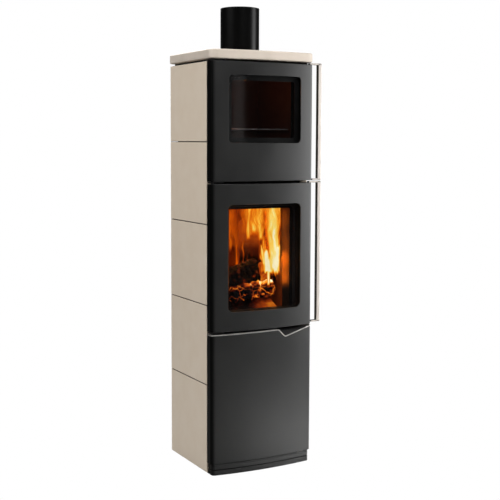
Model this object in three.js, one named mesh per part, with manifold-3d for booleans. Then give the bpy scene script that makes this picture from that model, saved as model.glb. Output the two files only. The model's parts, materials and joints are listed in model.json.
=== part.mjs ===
// Tall tiled wood stove: a steel carcass with ceramic side tiles, a bowed black front of three
// doors, a baking oven above the fire, a wood store below it, and a ceramic top plate with the
// flue pipe rising through it.
//
// Millimetres, +Z up, +X to the right as seen from the front, -Y towards the viewer.
// The origin is on the floor, in the middle of the footprint of the side tiles.

import * as THREE from 'three';
import { mergeVertices } from 'three/addons/utils/BufferGeometryUtils.js';
import Module from 'manifold-3d';

const wasm = await Module();
wasm.setup();

// ---------------------------------------------------------------- driving dimensions

const fit = 0.3; // gap left between two pieces that touch

// Side tiles
const bodyWidth = 434; // across the faces of the left and right tiles
const sideDepth = 326; // from the tiles' front edges to their back edges
const tileThickness = 30;
const tileFace = 12; // thickness of the face in front of the hollow back
const tileRim = 14; // rim and middle rib round the hollows
const tileArris = 2.5; // rounding of the edges
const tileJoint = 1.5; // open joint between two courses
const courseHeights = [337.5, 300.7, 301.7, 304.8, 293.5]; // bottom to top

// Bowed front
const frontBow = 17.4; // how far the middle stands proud of the corners
const cornerReach = 39.2; // from the tiles' front edges forward to the corners
const cornerRadius = 12;
const doorSheet = 3;
const returnGap = 6; // between the tiles' front edges and the doors' returned sides
const plinthHeight = 42;
const plinthSetback = 6.5; // narrower than the doors by this on each side
const plinthRecess = 2; // behind the face of the doors
const plinthSheet = 2.5;
const plinthGrooveDepth = 1.2;
const plinthGroove = [19.5, 21.5]; // lower and upper edge of the deep groove
const plinthFold = [36.4, 37.6]; // the shallower one above it
const plinthGap = 2; // between the plinth and the lower door
const fireDoorBottom = 546.5;
const fireDoorHeight = 551.2;
const doorGap = 9.6; // between the fire door and the oven door

// Wave along the top of the lower door, as drops below the fire door
const waveLeftDrop = 12.3;
const shoulderDrop = 9;
const notchDrop = 38;
const waveRightDrop = 3.5;
const shoulderX = 63.5;
const notchX = 92.5;
const shoulderRadius = 12;
const notchRadius = 14;
const trimHeight = 4;
const trimProud = 0.8;
const trimDepth = 11;

// Windows and glass
const windowShift = 5.5; // both windows sit this far towards the handles
const ovenWindowWidth = 306;
const ovenWindowSill = 142.7; // above the oven door's lower edge
const ovenWindowHead = 48.5; // below its upper edge
const ovenWindowRadius = 15;
const fireWindowWidth = 312;
const fireWindowSill = 72.5; // above the fire door's lower edge
const fireWindowHead = 77.2; // below its upper edge
const fireWindowRadius = 20;
const glassThickness = 4;
const glassFront = 36; // from the tiles' front edges forward to the glass
const glassLap = 10; // glass held behind the window's edge

// Inner frame and rope seal of a glazed door
const innerFrameSheet = 2.7;
const innerWall = 3; // wall that clamps the glass
const ropeWidth = 12;
const ropeOffset = 8; // from the mouth's edge to the rope
const ropeRound = 3.5;

// Hinges on the left edge
const pinRadius = 4;
const pinClearance = 0.4;
const pinReach = 14; // past the bracket, into the door
const hingeInset = 13.5; // from the side of the stove
const hingeReach = 21.5; // in front of the tiles
const bracketThickness = 4;
const bracketEnd = 44; // from the pin towards the middle of the stove
const bracketFrontGap = 11.5; // from the pin forward to the bracket's edge
const bracketTileGap = 1; // between the bracket and the tiles' front edges

// Full-height handles on the right edge
const barWidth = 10.8;
const barDepth = 16.6;
const barStandOff = 28.5; // clear finger gap beside the door
const barRound = 2;
const armThickness = 6;
const armArris = 0.8;
const armLap = 13.5; // reach of a top arm in over the door's upper edge
const ovenHandleFoot = 0.2; // lower end of the handle above the door's lower edge
const fireHandleFoot = 7;

// Carcass
const baseSheet = 3;
const carcassSheet = 3;
const frameSheet = 4;
const frameSetback = 6; // from the tiles' front edges back to the front frame
const backSheet = 2;
const backInset = 2.7; // back panel's outer face, from the tiles' back edges
const sideFlange = 16;
const slotCount = 9;
const slotWidth = 9;
const slotHeight = 60;
const slotPitch = 30;
const slotRows = [330, 1420]; // height of the middle of each row of slots
const slotStraight = 0.02; // short straight between the round ends of a slot

// Mouths in the front frame
const mouthRadius = 8;
const fireMouthWidth = 294;
const fireMouthSill = 70.5; // above the fire door's lower edge
const fireMouthHead = 97.7; // below its upper edge
const ovenMouthWidth = 296;
const ovenMouthSill = 134.7; // above the oven door's lower edge
const ovenMouthHead = 39.5; // below its upper edge
const storeMouthWidth = 330;
const storeMouthBottom = 60;
const storeMouthHead = 30; // below the lower shelf
const sootMouthWidth = 170;
const sootMouthHeight = 80;
const sootMouthSill = 30; // above the middle shelf
const sootHatchLap = 12;
const sootHatchSheet = 3;
const sootKnobRadius = 7;
const sootKnobReach = 5;

// Shelves
const lowerShelfDrop = 4.5; // below the fire door's lower edge
const middleShelfRise = 2.3; // above the fire door's upper edge
const smokeSlotWidth = 220;
const smokeSlotDepth = 90;
const smokeSlotCentre = 65;

// Wood store and ash drawer
const linerSheet = 1.5;
const linerDepth = 260;
const linerHead = 13; // below the ash pan
const panWidth = 245;
const panDepth = 240;
const panHeight = 40;
const panSheet = 1.5;
const panDrop = 74; // its bottom below the lower shelf
const runnerSheet = 2;
const runnerLip = 10;
const runnerGap = 1; // behind the air slider
const panGripWidth = 80;
const panGripReach = 14;
const panGripBar = 4;
const panGripRound = 3;

// Fire chamber
const chamberWidth = 232; // between the side bricks
const chamberDepth = 218; // in front of the back brick
const brickThickness = 32;
const brickHead = 90; // top of the bricks below the middle shelf
const hearthThickness = 50;
const shellSheet = 3;
const shellHead = 15; // below the middle shelf
const grateWidth = 170;
const grateDepth = 130;
const grateThickness = 12;
const grateBar = 9;
const grateSlots = 7;
const grateY = -5;
const grateLedge = 10;
const grateCorner = 4;
const retainerHeight = 13;
const retainerThickness = 8;
const retainerDip = 4; // lower in the middle
const retainerRound = 12;
const baffleThickness = 25;
const baffleFrontGap = 70;

// Oven
const ovenWall = 3;
const ovenDepth = 268;
const ovenMargin = 2; // from the mouth's edge out to the oven's wall
const ovenStoneThickness = 15;
const rackRise = 63.7; // top of the wires above the oven's floor
const rackSideGap = 2;
const rackFrontGap = 3;
const rackBackGap = 6;
const rackCorner = 8;
const rackRod = 5;
const rackWire = 3;
const rackWires = 13;
const railWidth = 9;
const railSheet = 2;

// Top, flue and air inlet
const coverSheet = 2;
const coverInset = 12; // cover is narrower than the stove by this on each side
const coverRimInset = 5;
const coverRimSheet = 2.5;
const shadowGap = 8.5; // between the tiles and the top plate
const plateThickness = 34;
const plateSideLap = 3.5;
const plateFrontLap = 9;
const plateCorner = 35;
const plateArris = 5;
const flueRadius = 75;
const flueSheet = 2;
const flueTop = 1765.3;
const flueY = -11.6;
const flueHoleGap = 2;
const collarFlange = 95;
const collarTop = 1610;
const collarRise = 12; // lower end of the collar above the oven
const inletRadius = 50;
const inletSheet = 2;
const inletHeight = 125;
const inletReach = 24;
const inletPlate = 124;
const inletPlateRound = 10;
const ductWidth = 112;
const ductDepth = 42;
const ductBottom = 60;
const ductPort = 68;

// Air slider and catches
const sliderThickness = 3;
const sliderWidth = 80;
const sliderHeight = 24;
const sliderTabWidth = 12;
const sliderTabThickness = 4;
const sliderTabReach = 29;
const sliderTabRound = 4;
const sliderX = 95;
const sliderDrop = 14.5; // its middle below the lower shelf
const sliderTravel = 30;
const catchX = 178;
const catchBarrel = 3.5;
const catchHoleGap = 1;
const catchReach = 15.7;
const catchPlate = [14, 28];
const catchPlateCorner = 2;
const magnetHeight = 40;
const magnetDepth = 8.7;
const magnetWidth = 16;
const magnetCorner = 3;
const magnetArris = 0.8;
const strikerSheet = 1.7;
const strikerLeg = 20;

// Smoothness of curves
const bowSteps = 20;
const filletSteps = 5;
const smallRadius = 6; // a rounding smaller than this has fewer steps
const smallSteps = 2;
const roundSteps = 36;
const pinSteps = 16;

// ---------------------------------------------------------------- derived places

const sideX = bodyWidth / 2;
const tileFrontY = -sideDepth / 2;
const tileBackY = sideDepth / 2;
const cornerY = tileFrontY - cornerReach;
const bowRadius = (sideX ** 2 + frontBow ** 2) / (2 * frontBow);
const bowCentreY = cornerY - frontBow + bowRadius;
const frontMostY = cornerY - frontBow;
const returnY = tileFrontY - returnGap;
const stackBottom = baseSheet + fit;
const stackTop = stackBottom + courseHeights.reduce((sum, height) => sum + height, 0)
  + tileJoint * (courseHeights.length - 1);
const lowerDoorBottom = plinthHeight + plinthGap;
const fireDoorTop = fireDoorBottom + fireDoorHeight;
const ovenDoorBottom = fireDoorTop + doorGap;
const ovenDoorTop = stackTop;
const innerX = sideX - tileThickness - fit; // outer faces of the carcass, behind the tiles
const insideX = innerX - carcassSheet;
const frameFrontY = tileFrontY + frameSetback;
const frameBackY = frameFrontY + frameSheet;
const insideFrontY = frameBackY + fit;
const backOuterY = tileBackY - backInset;
const backInnerY = backOuterY - backSheet;
const insideBackY = backInnerY - fit;
const hingeX = -sideX + hingeInset;
const hingeY = tileFrontY - hingeReach;
const glassY = tileFrontY - glassFront;
const coverBottom = stackTop + fit;
const plateBottom = stackTop + shadowGap;

const lowerShelf = fireDoorBottom - lowerShelfDrop;
const middleShelf = fireDoorTop + middleShelfRise;
const panBottom = lowerShelf - panDrop;
const panFrontY = insideFrontY + fit;
const sliderZ = lowerShelf - sliderDrop;
const ductBackY = insideBackY - carcassSheet - fit;
const ductFrontY = ductBackY - ductDepth;
const magnetZ = (lowerDoorBottom + lowerShelf) / 2;

const shellBottom = lowerShelf + carcassSheet + fit;
const hearthBottom = shellBottom + shellSheet + fit;
const hearthTop = hearthBottom + hearthThickness;
const brickTop = middleShelf - brickHead;
const brickX = chamberWidth / 2 + brickThickness;
const brickFrontY = insideFrontY + shellSheet;
const backBrickY = brickFrontY + chamberDepth;

const ovenInnerX = ovenMouthWidth / 2 + ovenMargin;
const ovenFloor = ovenDoorBottom + ovenMouthSill - ovenMargin;
const ovenCeiling = ovenDoorTop - ovenMouthHead + ovenMargin;
const ovenBackY = insideFrontY + ovenDepth;
const rackTop = ovenFloor + rackRise;

// ---------------------------------------------------------------- outlines

/** Points along an arc, from angle a to angle b. */
function arc(x, y, radius, a, b, steps) {
  return Array.from({ length: steps + 1 }, (_, i) => {
    const angle = a + ((b - a) * i) / steps;
    return new THREE.Vector2(x + radius * Math.cos(angle), y + radius * Math.sin(angle));
  });
}

/** A polyline whose corners are rounded: each corner is [x, y, radius]. */
function filleted(corners, closed = true) {
  const points = [];
  corners.forEach(([x, y, radius = 0], i) => {
    const here = new THREE.Vector2(x, y);
    if (!radius || (!closed && (i === 0 || i === corners.length - 1))) {
      points.push(here);
      return;
    }
    const [px, py] = corners[(i + corners.length - 1) % corners.length];
    const [nx, ny] = corners[(i + 1) % corners.length];
    const before = new THREE.Vector2(px, py).sub(here).normalize();
    const after = new THREE.Vector2(nx, ny).sub(here).normalize();
    const half = Math.acos(before.dot(after)) / 2;
    const middle = before.clone().add(after).normalize();
    const centre = here.clone().addScaledVector(middle, radius / Math.sin(half));
    const start = here.clone().addScaledVector(before, radius / Math.tan(half)).sub(centre);
    const end = here.clone().addScaledVector(after, radius / Math.tan(half)).sub(centre);
    const a = start.angle();
    const turn = Math.atan2(start.cross(end), start.dot(end));
    const steps = radius < smallRadius ? smallSteps : filletSteps;
    points.push(...arc(centre.x, centre.y, radius, a, a + turn, steps));
  });
  return points;
}

/** A rectangle as its edges and corner radius. */
function rect(x0, x1, y0, y1, radius = 0) {
  return { x0, x1, y0, y1, radius };
}

/** The same rectangle, larger by a margin on every side. */
function grown({ x0, x1, y0, y1, radius }, margin) {
  const corner = radius ? Math.max(radius + margin, 1) : 0;
  return rect(x0 - margin, x1 + margin, y0 - margin, y1 + margin, corner);
}

/** The points round such a rectangle. */
function rectPoints({ x0, x1, y0, y1, radius }) {
  return filleted([[x0, y0, radius], [x1, y0, radius], [x1, y1, radius], [x0, y1, radius]]);
}

/** A shape from its outer points and any number of holes. */
function shapeOf(outer, ...holes) {
  const shape = new THREE.Shape(outer);
  shape.holes = holes.map((points) => new THREE.Path(points));
  return shape;
}

/** Plan of the bowed front: sides at halfWidth, a front arc offset forward, rounded corners. */
function bowedPlan(halfWidth, forward, corner, backY) {
  const radius = Math.max(corner, 1);
  const front = bowRadius + forward;
  const x = halfWidth - radius;
  const y = bowCentreY - Math.sqrt((front - radius) ** 2 - x ** 2);
  const swing = Math.atan2(x, bowCentreY - y); // of the corner, off the centre line
  const down = 1.5 * Math.PI;
  return [
    new THREE.Vector2(-halfWidth, backY),
    ...arc(-x, y, radius, Math.PI, down - swing, filletSteps),
    ...arc(0, bowCentreY, front, down - swing, down + swing, bowSteps).slice(1, -1),
    ...arc(x, y, radius, down + swing, 2 * Math.PI, filletSteps),
    new THREE.Vector2(halfWidth, backY),
  ];
}

/** Plan of a door, inset from its outer faces, and open or closed at backY. */
function doorPlan(inset, backY = returnY) {
  return bowedPlan(sideX - inset, -inset, cornerRadius - inset, backY);
}

// ---------------------------------------------------------------- solids

/** A closed geometry as a solid that can be joined and cut. */
function solid(geometry) {
  geometry.deleteAttribute('normal');
  geometry.deleteAttribute('uv');
  const merged = mergeVertices(geometry, 1e-4);
  return new wasm.Manifold(new wasm.Mesh({
    numProp: 3,
    vertProperties: merged.attributes.position.array,
    triVerts: new Uint32Array(merged.index.array),
  }));
}

/** A solid back as a geometry with flat facets. */
function geometryOf(body) {
  const mesh = body.getMesh();
  const geometry = new THREE.BufferGeometry();
  geometry.setAttribute('position', new THREE.BufferAttribute(mesh.vertProperties, 3));
  geometry.setIndex(new THREE.BufferAttribute(mesh.triVerts, 1));
  const flat = geometry.toNonIndexed();
  flat.computeVertexNormals();
  return flat;
}

/** A shape drawn up along +Z, with its edges rounded if asked. */
function extruded(shape, depth, round = 0, bevelSteps = 2) {
  return new THREE.ExtrudeGeometry(shape, {
    depth: depth - 2 * round,
    bevelEnabled: round > 0,
    bevelThickness: round,
    bevelSize: round,
    bevelOffset: -round,
    bevelSegments: bevelSteps,
  }).translate(0, 0, round);
}

/** A horizontal slab: a shape in plan, from z0 up to z1. */
function slab(shape, z0, z1, round = 0, steps = 2) {
  return solid(extruded(shape, z1 - z0, round, steps).translate(0, 0, z0));
}

/** An upright sheet across the stove: a shape seen from the front, from y0 back to y1. */
function sheet(shape, y0, y1, round = 0, steps = 2) {
  return solid(extruded(shape, y1 - y0, round, steps).rotateX(Math.PI / 2).translate(0, y1, 0));
}

/** A plain block from its six faces. */
function block(x0, x1, y0, y1, z0, z1) {
  const box = new THREE.BoxGeometry(x1 - x0, y1 - y0, z1 - z0);
  return solid(box.translate((x0 + x1) / 2, (y0 + y1) / 2, (z0 + z1) / 2));
}

/** An upright round bar or hole. */
function column(x, y, z0, z1, radius, steps = roundSteps) {
  const bar = new THREE.CylinderGeometry(radius, radius, z1 - z0, steps);
  return solid(bar.rotateX(Math.PI / 2).translate(x, y, (z0 + z1) / 2));
}

/** A round bar or hole running front to back. */
function barrel(x, z, y0, y1, radius, steps = roundSteps) {
  const bar = new THREE.CylinderGeometry(radius, radius, y1 - y0, steps);
  return solid(bar.translate(x, (y0 + y1) / 2, z));
}

/** A round bar running side to side. */
function crossbar(x0, x1, y, z, radius, steps = 8) {
  const bar = new THREE.CylinderGeometry(radius, radius, x1 - x0, steps);
  return solid(bar.rotateZ(Math.PI / 2).translate((x0 + x1) / 2, y, z));
}

function joined(...bodies) {
  return bodies.reduce((sum, body) => sum.add(body));
}

function cut(body, ...tools) {
  return tools.reduce((rest, tool) => rest.subtract(tool), body);
}

/** A thin-walled box, open on the sides whose wall is 0. */
function openBox([x0, x1], [y0, y1], [z0, z1], { sides, front = 0, back, bottom, top = 0 }) {
  const past = 1; // an open side is cut right through
  const inner = (edge, wall, sign) => edge + sign * (wall || -past);
  return cut(
    block(x0, x1, y0, y1, z0, z1),
    block(
      x0 + sides, x1 - sides,
      inner(y0, front, 1), inner(y1, back, -1),
      inner(z0, bottom, 1), inner(z1, top, -1),
    ),
  );
}

// ---------------------------------------------------------------- finishes

const finishes = {
  glazedTile: { color: 0xbaac9b, roughness: 0.45, metalness: 0 },
  glazedPlate: { color: 0xddd2c6, roughness: 0.35, metalness: 0 },
  blackPaint: { color: 0x3a3a39, roughness: 0.5, metalness: 0.2 },
  heatPaint: { color: 0x1b1b1b, roughness: 0.7, metalness: 0.1 },
  satinSteel: { color: 0xb8b5b0, roughness: 0.3, metalness: 1 },
  sheetSteel: { color: 0x6f7072, roughness: 0.5, metalness: 0.8 },
  castIron: { color: 0x2a2826, roughness: 0.8, metalness: 0.4 },
  firebrick: { color: 0xc9a97e, roughness: 0.95, metalness: 0 },
  ropeSeal: { color: 0x8a8680, roughness: 1, metalness: 0 },
  fireGlass: { color: 0x2a2a2a, roughness: 0.05, metalness: 0 },
};

const stove = new THREE.Group();
stove.name = 'tiled_stove';

/** Adds one named piece to a group, undoing the group's own offset. */
function addPiece(group, name, body, finish) {
  const material = new THREE.MeshStandardMaterial(finishes[finish]);
  const mesh = new THREE.Mesh(body.isBufferGeometry ? body : geometryOf(body), material);
  mesh.name = name;
  mesh.position.sub(group.position);
  group.add(mesh);
  return mesh;
}

/** A group whose own origin is on the hinge line, at a door's lower edge. */
function doorGroup(bottom) {
  const group = new THREE.Group();
  group.position.set(hingeX, hingeY, bottom);
  stove.add(group);
  return group;
}

// ---------------------------------------------------------------- ceramic cladding

/** One hollow-backed tile, its face towards +X and its lower edge at z = 0. */
function tileGeometry(height) {
  const outline = rectPoints(rect(tileFrontY, tileBackY, 0, height));
  const blank = solid(
    extruded(shapeOf(outline), tileThickness, tileArris, 3)
      .rotateX(Math.PI / 2)
      .rotateZ(Math.PI / 2)
      .translate(sideX - tileThickness, 0, 0),
  );
  const past = 1;
  const hollowDepth = (sideDepth - 3 * tileRim) / 2;
  const hollows = [tileFrontY + tileRim, tileRim / 2].map((y) => block(
    sideX - tileThickness - past, sideX - tileFace,
    y, y + hollowDepth,
    tileRim, height - tileRim,
  ));
  return geometryOf(cut(blank, ...hollows));
}

function addTiles() {
  let z = stackBottom;
  courseHeights.forEach((height, course) => {
    ['right', 'left'].forEach((side, turn) => {
      const tile = addPiece(stove, `tile_${side}_${course + 1}`, tileGeometry(height), 'glazedTile');
      tile.rotation.z = turn * Math.PI;
      tile.position.z = z;
    });
    z += height + tileJoint;
  });
}

function addTopPlate() {
  const plan = bowedPlan(sideX + plateSideLap, plateFrontLap, plateCorner, tileBackY);
  const hole = arc(0, flueY, flueRadius + flueHoleGap, 0, 2 * Math.PI, roundSteps).slice(0, -1);
  const plate = slab(shapeOf(plan, hole), plateBottom, plateBottom + plateThickness, plateArris, 3);
  addPiece(stove, 'top_plate', plate, 'glazedPlate');
}

// ---------------------------------------------------------------- base and carcass

/** Plan of the plinth, inset from its outer face. */
function plinthPlan(inset, backY) {
  const corner = cornerRadius - inset;
  return bowedPlan(sideX - plinthSetback - inset, -plinthRecess - inset, corner, backY);
}

function addBase() {
  const base = slab(shapeOf(plinthPlan(0, backOuterY)), 0, baseSheet);
  addPiece(stove, 'base_plate', base, 'heatPaint');

  const past = 1;
  const backY = tileFrontY - fit;
  const shell = cut(
    slab(shapeOf(plinthPlan(0, backY)), stackBottom, plinthHeight),
    slab(shapeOf(plinthPlan(plinthSheet, backY + past)), stackBottom - past, plinthHeight + past),
  );
  const grooves = [[plinthGroove, plinthGrooveDepth], [plinthFold, plinthGrooveDepth / 2]];
  const cutters = grooves.map(([[z0, z1], depth]) => cut(
    slab(shapeOf(plinthPlan(-past, backY + past)), z0, z1),
    slab(shapeOf(plinthPlan(depth, backY + 2 * past)), z0 - past, z1 + past),
  ));
  addPiece(stove, 'plinth_panel', cut(shell, ...cutters), 'blackPaint');
}

function addCarcass() {
  [['left', -1], ['right', 1]].forEach(([side, sign]) => {
    const x = [sign * innerX, sign * insideX].sort((a, b) => a - b);
    const flange = [sign * (insideX - sideFlange), sign * insideX].sort((a, b) => a - b);
    const wall = block(...x, insideFrontY, insideBackY, stackBottom, stackTop);
    const lip = block(...flange, insideBackY - carcassSheet, insideBackY, stackBottom, stackTop);
    addPiece(stove, `carcass_side_${side}`, joined(wall, lip), 'heatPaint');
  });

  const panel = shapeOf(rectPoints(rect(-innerX + fit, innerX - fit, stackBottom, stackTop)));
  const slots = slotRows.flatMap((z) => Array.from({ length: slotCount }, (_, i) => {
    const x = (i - (slotCount - 1) / 2) * slotPitch;
    const slot = rect(
      x - slotWidth / 2, x + slotWidth / 2, z - slotHeight / 2, z + slotHeight / 2,
      (slotWidth - slotStraight) / 2,
    );
    return new THREE.Path(rectPoints(slot));
  }));
  panel.holes = [...slots, new THREE.Path(rectPoints(inletSquare(inletRadius + fit)))];
  addPiece(stove, 'back_panel', sheet(panel, backInnerY, backOuterY), 'heatPaint');
}

/** A mouth in the front frame, centred on the stove. */
function mouthOf(width, bottom, top) {
  return rect(-width / 2, width / 2, bottom, top, mouthRadius);
}

const sootMouthBottom = middleShelf + sootMouthSill;
const mouths = {
  store: mouthOf(storeMouthWidth, storeMouthBottom, lowerShelf - storeMouthHead),
  fire: mouthOf(fireMouthWidth, fireDoorBottom + fireMouthSill, fireDoorTop - fireMouthHead),
  oven: mouthOf(ovenMouthWidth, ovenDoorBottom + ovenMouthSill, ovenDoorTop - ovenMouthHead),
  soot: mouthOf(sootMouthWidth, sootMouthBottom, sootMouthBottom + sootMouthHeight),
};

function addFrontFrame() {
  const tabGap = 2;
  const slot = rect(
    sliderX - sliderTabWidth / 2 - tabGap, sliderX + sliderTabWidth / 2 + sliderTravel + tabGap,
    sliderZ - sliderTabThickness / 2 - tabGap / 2, sliderZ + sliderTabThickness / 2 + tabGap / 2,
    1,
  );
  const outline = rectPoints(rect(-innerX, innerX, stackBottom, stackTop, 0));
  const holes = [...Object.values(mouths), slot].map(rectPoints);
  const frame = sheet(shapeOf(outline, ...holes), frameFrontY, frameBackY);
  addPiece(stove, 'front_frame', frame, 'heatPaint');
}

/** A shelf that fills the carcass, with rectangular holes given as x and y ranges. */
function shelf(z, holes) {
  const plate = block(
    -insideX + fit, insideX - fit, insideFrontY, insideBackY - carcassSheet - fit, z, z + carcassSheet,
  );
  const past = 1;
  return cut(plate, ...holes.map(([x, y]) => block(...x, ...y, z - past, z + carcassSheet + past)));
}

function addShelves() {
  const ashHole = [
    [-grateWidth / 2, grateWidth / 2],
    [grateY - grateDepth / 2, grateY + grateDepth / 2],
  ];
  const ductInside = ductWidth / 2 - linerSheet;
  const ductHole = [[-ductInside, ductInside], [ductFrontY + linerSheet, ductBackY - linerSheet]];
  const runners = [-1, 1].flatMap((sign) => {
    const inner = panWidth / 2 + fit;
    const wall = [sign * inner, sign * (inner + runnerSheet)].sort((a, b) => a - b);
    const lip = [sign * (inner - runnerLip), sign * (inner + runnerSheet)].sort((a, b) => a - b);
    const y = [insideFrontY + sliderThickness + runnerGap, panFrontY + panDepth];
    return [
      block(...wall, ...y, panBottom - fit - runnerSheet, lowerShelf + carcassSheet / 2),
      block(...lip, ...y, panBottom - fit - runnerSheet, panBottom - fit),
    ];
  });
  const lower = joined(shelf(lowerShelf, [ashHole, ductHole]), ...runners);
  addPiece(stove, 'lower_shelf', lower, 'heatPaint');

  const smokeHole = [
    [-smokeSlotWidth / 2, smokeSlotWidth / 2],
    [smokeSlotCentre - smokeSlotDepth / 2, smokeSlotCentre + smokeSlotDepth / 2],
  ];
  addPiece(stove, 'middle_shelf', shelf(middleShelf, [smokeHole]), 'heatPaint');
}

// ---------------------------------------------------------------- wood store, ash and air

function addStore() {
  const linerX = storeMouthWidth / 2 + linerSheet;
  const liner = openBox(
    [-linerX, linerX],
    [insideFrontY, insideFrontY + linerDepth],
    [storeMouthBottom - linerSheet, panBottom - linerHead],
    { sides: linerSheet, back: linerSheet, bottom: linerSheet },
  );
  addPiece(stove, 'wood_store_liner', liner, 'sheetSteel');
}

function addAshPan() {
  const x = panWidth / 2;
  const tray = openBox(
    [-x, x],
    [panFrontY, panFrontY + panDepth],
    [panBottom, panBottom + panHeight],
    { sides: panSheet, front: panSheet, back: panSheet, bottom: panSheet },
  );
  const z = panBottom + panHeight / 2;
  const gripX = panGripWidth / 2;
  const gripY = [panFrontY - panGripReach, panFrontY + panSheet / 2];
  const gripOutline = rect(-gripX, gripX, ...gripY, panGripRound);
  const gripSpace = grown(gripOutline, -panGripBar);
  const grip = slab(
    shapeOf(rectPoints(gripOutline), rectPoints(gripSpace)),
    z - panGripBar / 2, z + panGripBar / 2,
  );
  addPiece(stove, 'ash_pan', joined(tray, grip), 'sheetSteel');
}

/** The outline of a square around the axis of the air inlet. */
function inletSquare(half, round = 0) {
  return rect(-half, half, inletHeight - half, inletHeight + half, round);
}

function addAirInlet() {
  const past = 1;
  const spigot = cut(
    barrel(0, inletHeight, ductBackY + fit, backOuterY + inletReach, inletRadius),
    barrel(0, inletHeight, ductBackY, backOuterY + inletReach + past, inletRadius - inletSheet),
  );
  addPiece(stove, 'air_inlet_spigot', spigot, 'sheetSteel');

  const spigotHole = arc(0, inletHeight, inletRadius + fit, 0, 2 * Math.PI, roundSteps).slice(0, -1);
  const plate = shapeOf(rectPoints(inletSquare(inletPlate / 2, inletPlateRound)), spigotHole);
  const plateY = backOuterY + fit;
  addPiece(stove, 'air_inlet_plate', sheet(plate, plateY, plateY + inletSheet), 'sheetSteel');

  const duct = cut(
    openBox(
      [-ductWidth / 2, ductWidth / 2],
      [ductFrontY, ductBackY],
      [ductBottom, lowerShelf - fit],
      { sides: linerSheet, front: linerSheet, back: linerSheet, bottom: linerSheet },
    ),
    sheet(shapeOf(rectPoints(inletSquare(ductPort / 2))), ductBackY - linerSheet - past, ductBackY + past),
  );
  addPiece(stove, 'air_duct', duct, 'sheetSteel');
}

function addAirSlider() {
  const plate = block(
    sliderX - sliderWidth / 3, sliderX + (sliderWidth * 2) / 3,
    insideFrontY, insideFrontY + sliderThickness,
    sliderZ - sliderHeight / 2, sliderZ + sliderHeight / 2,
  );
  const tabOutline = filleted([
    [sliderX - sliderTabWidth / 2, insideFrontY + sliderThickness / 2],
    [sliderX - sliderTabWidth / 2, frameFrontY - sliderTabReach, sliderTabRound],
    [sliderX + sliderTabWidth / 2, frameFrontY - sliderTabReach, sliderTabRound],
    [sliderX + sliderTabWidth / 2, insideFrontY + sliderThickness / 2],
  ]);
  const tab = slab(
    shapeOf(tabOutline), sliderZ - sliderTabThickness / 2, sliderZ + sliderTabThickness / 2,
  );
  addPiece(stove, 'air_slider', joined(plate, tab), 'sheetSteel');
}

// ---------------------------------------------------------------- fire chamber

function addFireChamber() {
  const shellX = brickX + fit + shellSheet;
  const shellBackY = backBrickY + brickThickness + fit + shellSheet;
  const past = 1;
  const hole = [grateY - grateDepth / 2, grateY + grateDepth / 2];
  const shell = cut(
    openBox(
      [-shellX, shellX], [insideFrontY, shellBackY], [shellBottom, middleShelf - shellHead],
      { sides: shellSheet, back: shellSheet, bottom: shellSheet },
    ),
    block(-grateWidth / 2, grateWidth / 2, ...hole, shellBottom - past, hearthBottom),
  );
  addPiece(stove, 'firebox_shell', shell, 'heatPaint');

  const hearth = cut(
    block(-brickX, brickX, brickFrontY, backBrickY + brickThickness, hearthBottom, hearthTop),
    block(
      -grateWidth / 2 - fit, grateWidth / 2 + fit, hole[0] - fit, hole[1] + fit,
      hearthTop - grateThickness - fit, hearthTop + past,
    ),
    block(
      -grateWidth / 2 + grateLedge, grateWidth / 2 - grateLedge, hole[0] + grateLedge,
      hole[1] - grateLedge, hearthBottom - past, hearthTop,
    ),
  );
  addPiece(stove, 'firebrick_hearth', hearth, 'firebrick');

  [['left', -1], ['right', 1]].forEach(([side, sign]) => {
    const x = [(sign * chamberWidth) / 2, sign * brickX].sort((a, b) => a - b);
    const brick = block(...x, brickFrontY, backBrickY - fit, hearthTop + fit, brickTop);
    addPiece(stove, `firebrick_${side}`, brick, 'firebrick');
  });
  const back = block(
    -brickX, brickX, backBrickY, backBrickY + brickThickness, hearthTop + fit, brickTop,
  );
  addPiece(stove, 'firebrick_back', back, 'firebrick');

  const baffle = block(
    -brickX, brickX, brickFrontY + baffleFrontGap, backBrickY + brickThickness,
    brickTop + fit, brickTop + fit + baffleThickness,
  );
  addPiece(stove, 'baffle_plate', baffle, 'firebrick');
  addGrate();
}

function addGrate() {
  const x = grateWidth / 2;
  const y0 = grateY - grateDepth / 2;
  const slotPitchX = (grateWidth - 2 * grateLedge + grateBar) / grateSlots;
  const slots = Array.from({ length: grateSlots }, (_, i) => {
    const left = -x + grateLedge + i * slotPitchX;
    const right = left + slotPitchX - grateBar;
    const round = (right - left) / 4;
    return rectPoints(rect(left, right, y0 + grateLedge, y0 + grateDepth - grateLedge, round));
  });
  const outline = rectPoints(rect(-x, x, y0, y0 + grateDepth, grateCorner));
  const grate = slab(shapeOf(outline, ...slots), hearthTop - grateThickness, hearthTop, 1, 1);
  addPiece(stove, 'grate', grate, 'castIron');

  const half = chamberWidth / 2 - fit;
  const foot = hearthTop + fit;
  const front = brickFrontY + fit;
  const high = foot + retainerHeight;
  const low = high - retainerDip;
  const dipStarts = half * 0.6;
  const dipIsDeep = half * 0.45;
  const retainerOutline = filleted([
    [-half, foot], [half, foot], [half, high],
    [dipStarts, high, retainerRound], [dipIsDeep, low, retainerRound],
    [-dipIsDeep, low, retainerRound], [-dipStarts, high, retainerRound],
    [-half, high],
  ]);
  const retainer = sheet(shapeOf(retainerOutline), front, front + retainerThickness);
  addPiece(stove, 'log_retainer', retainer, 'castIron');
}

// ---------------------------------------------------------------- oven

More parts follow.
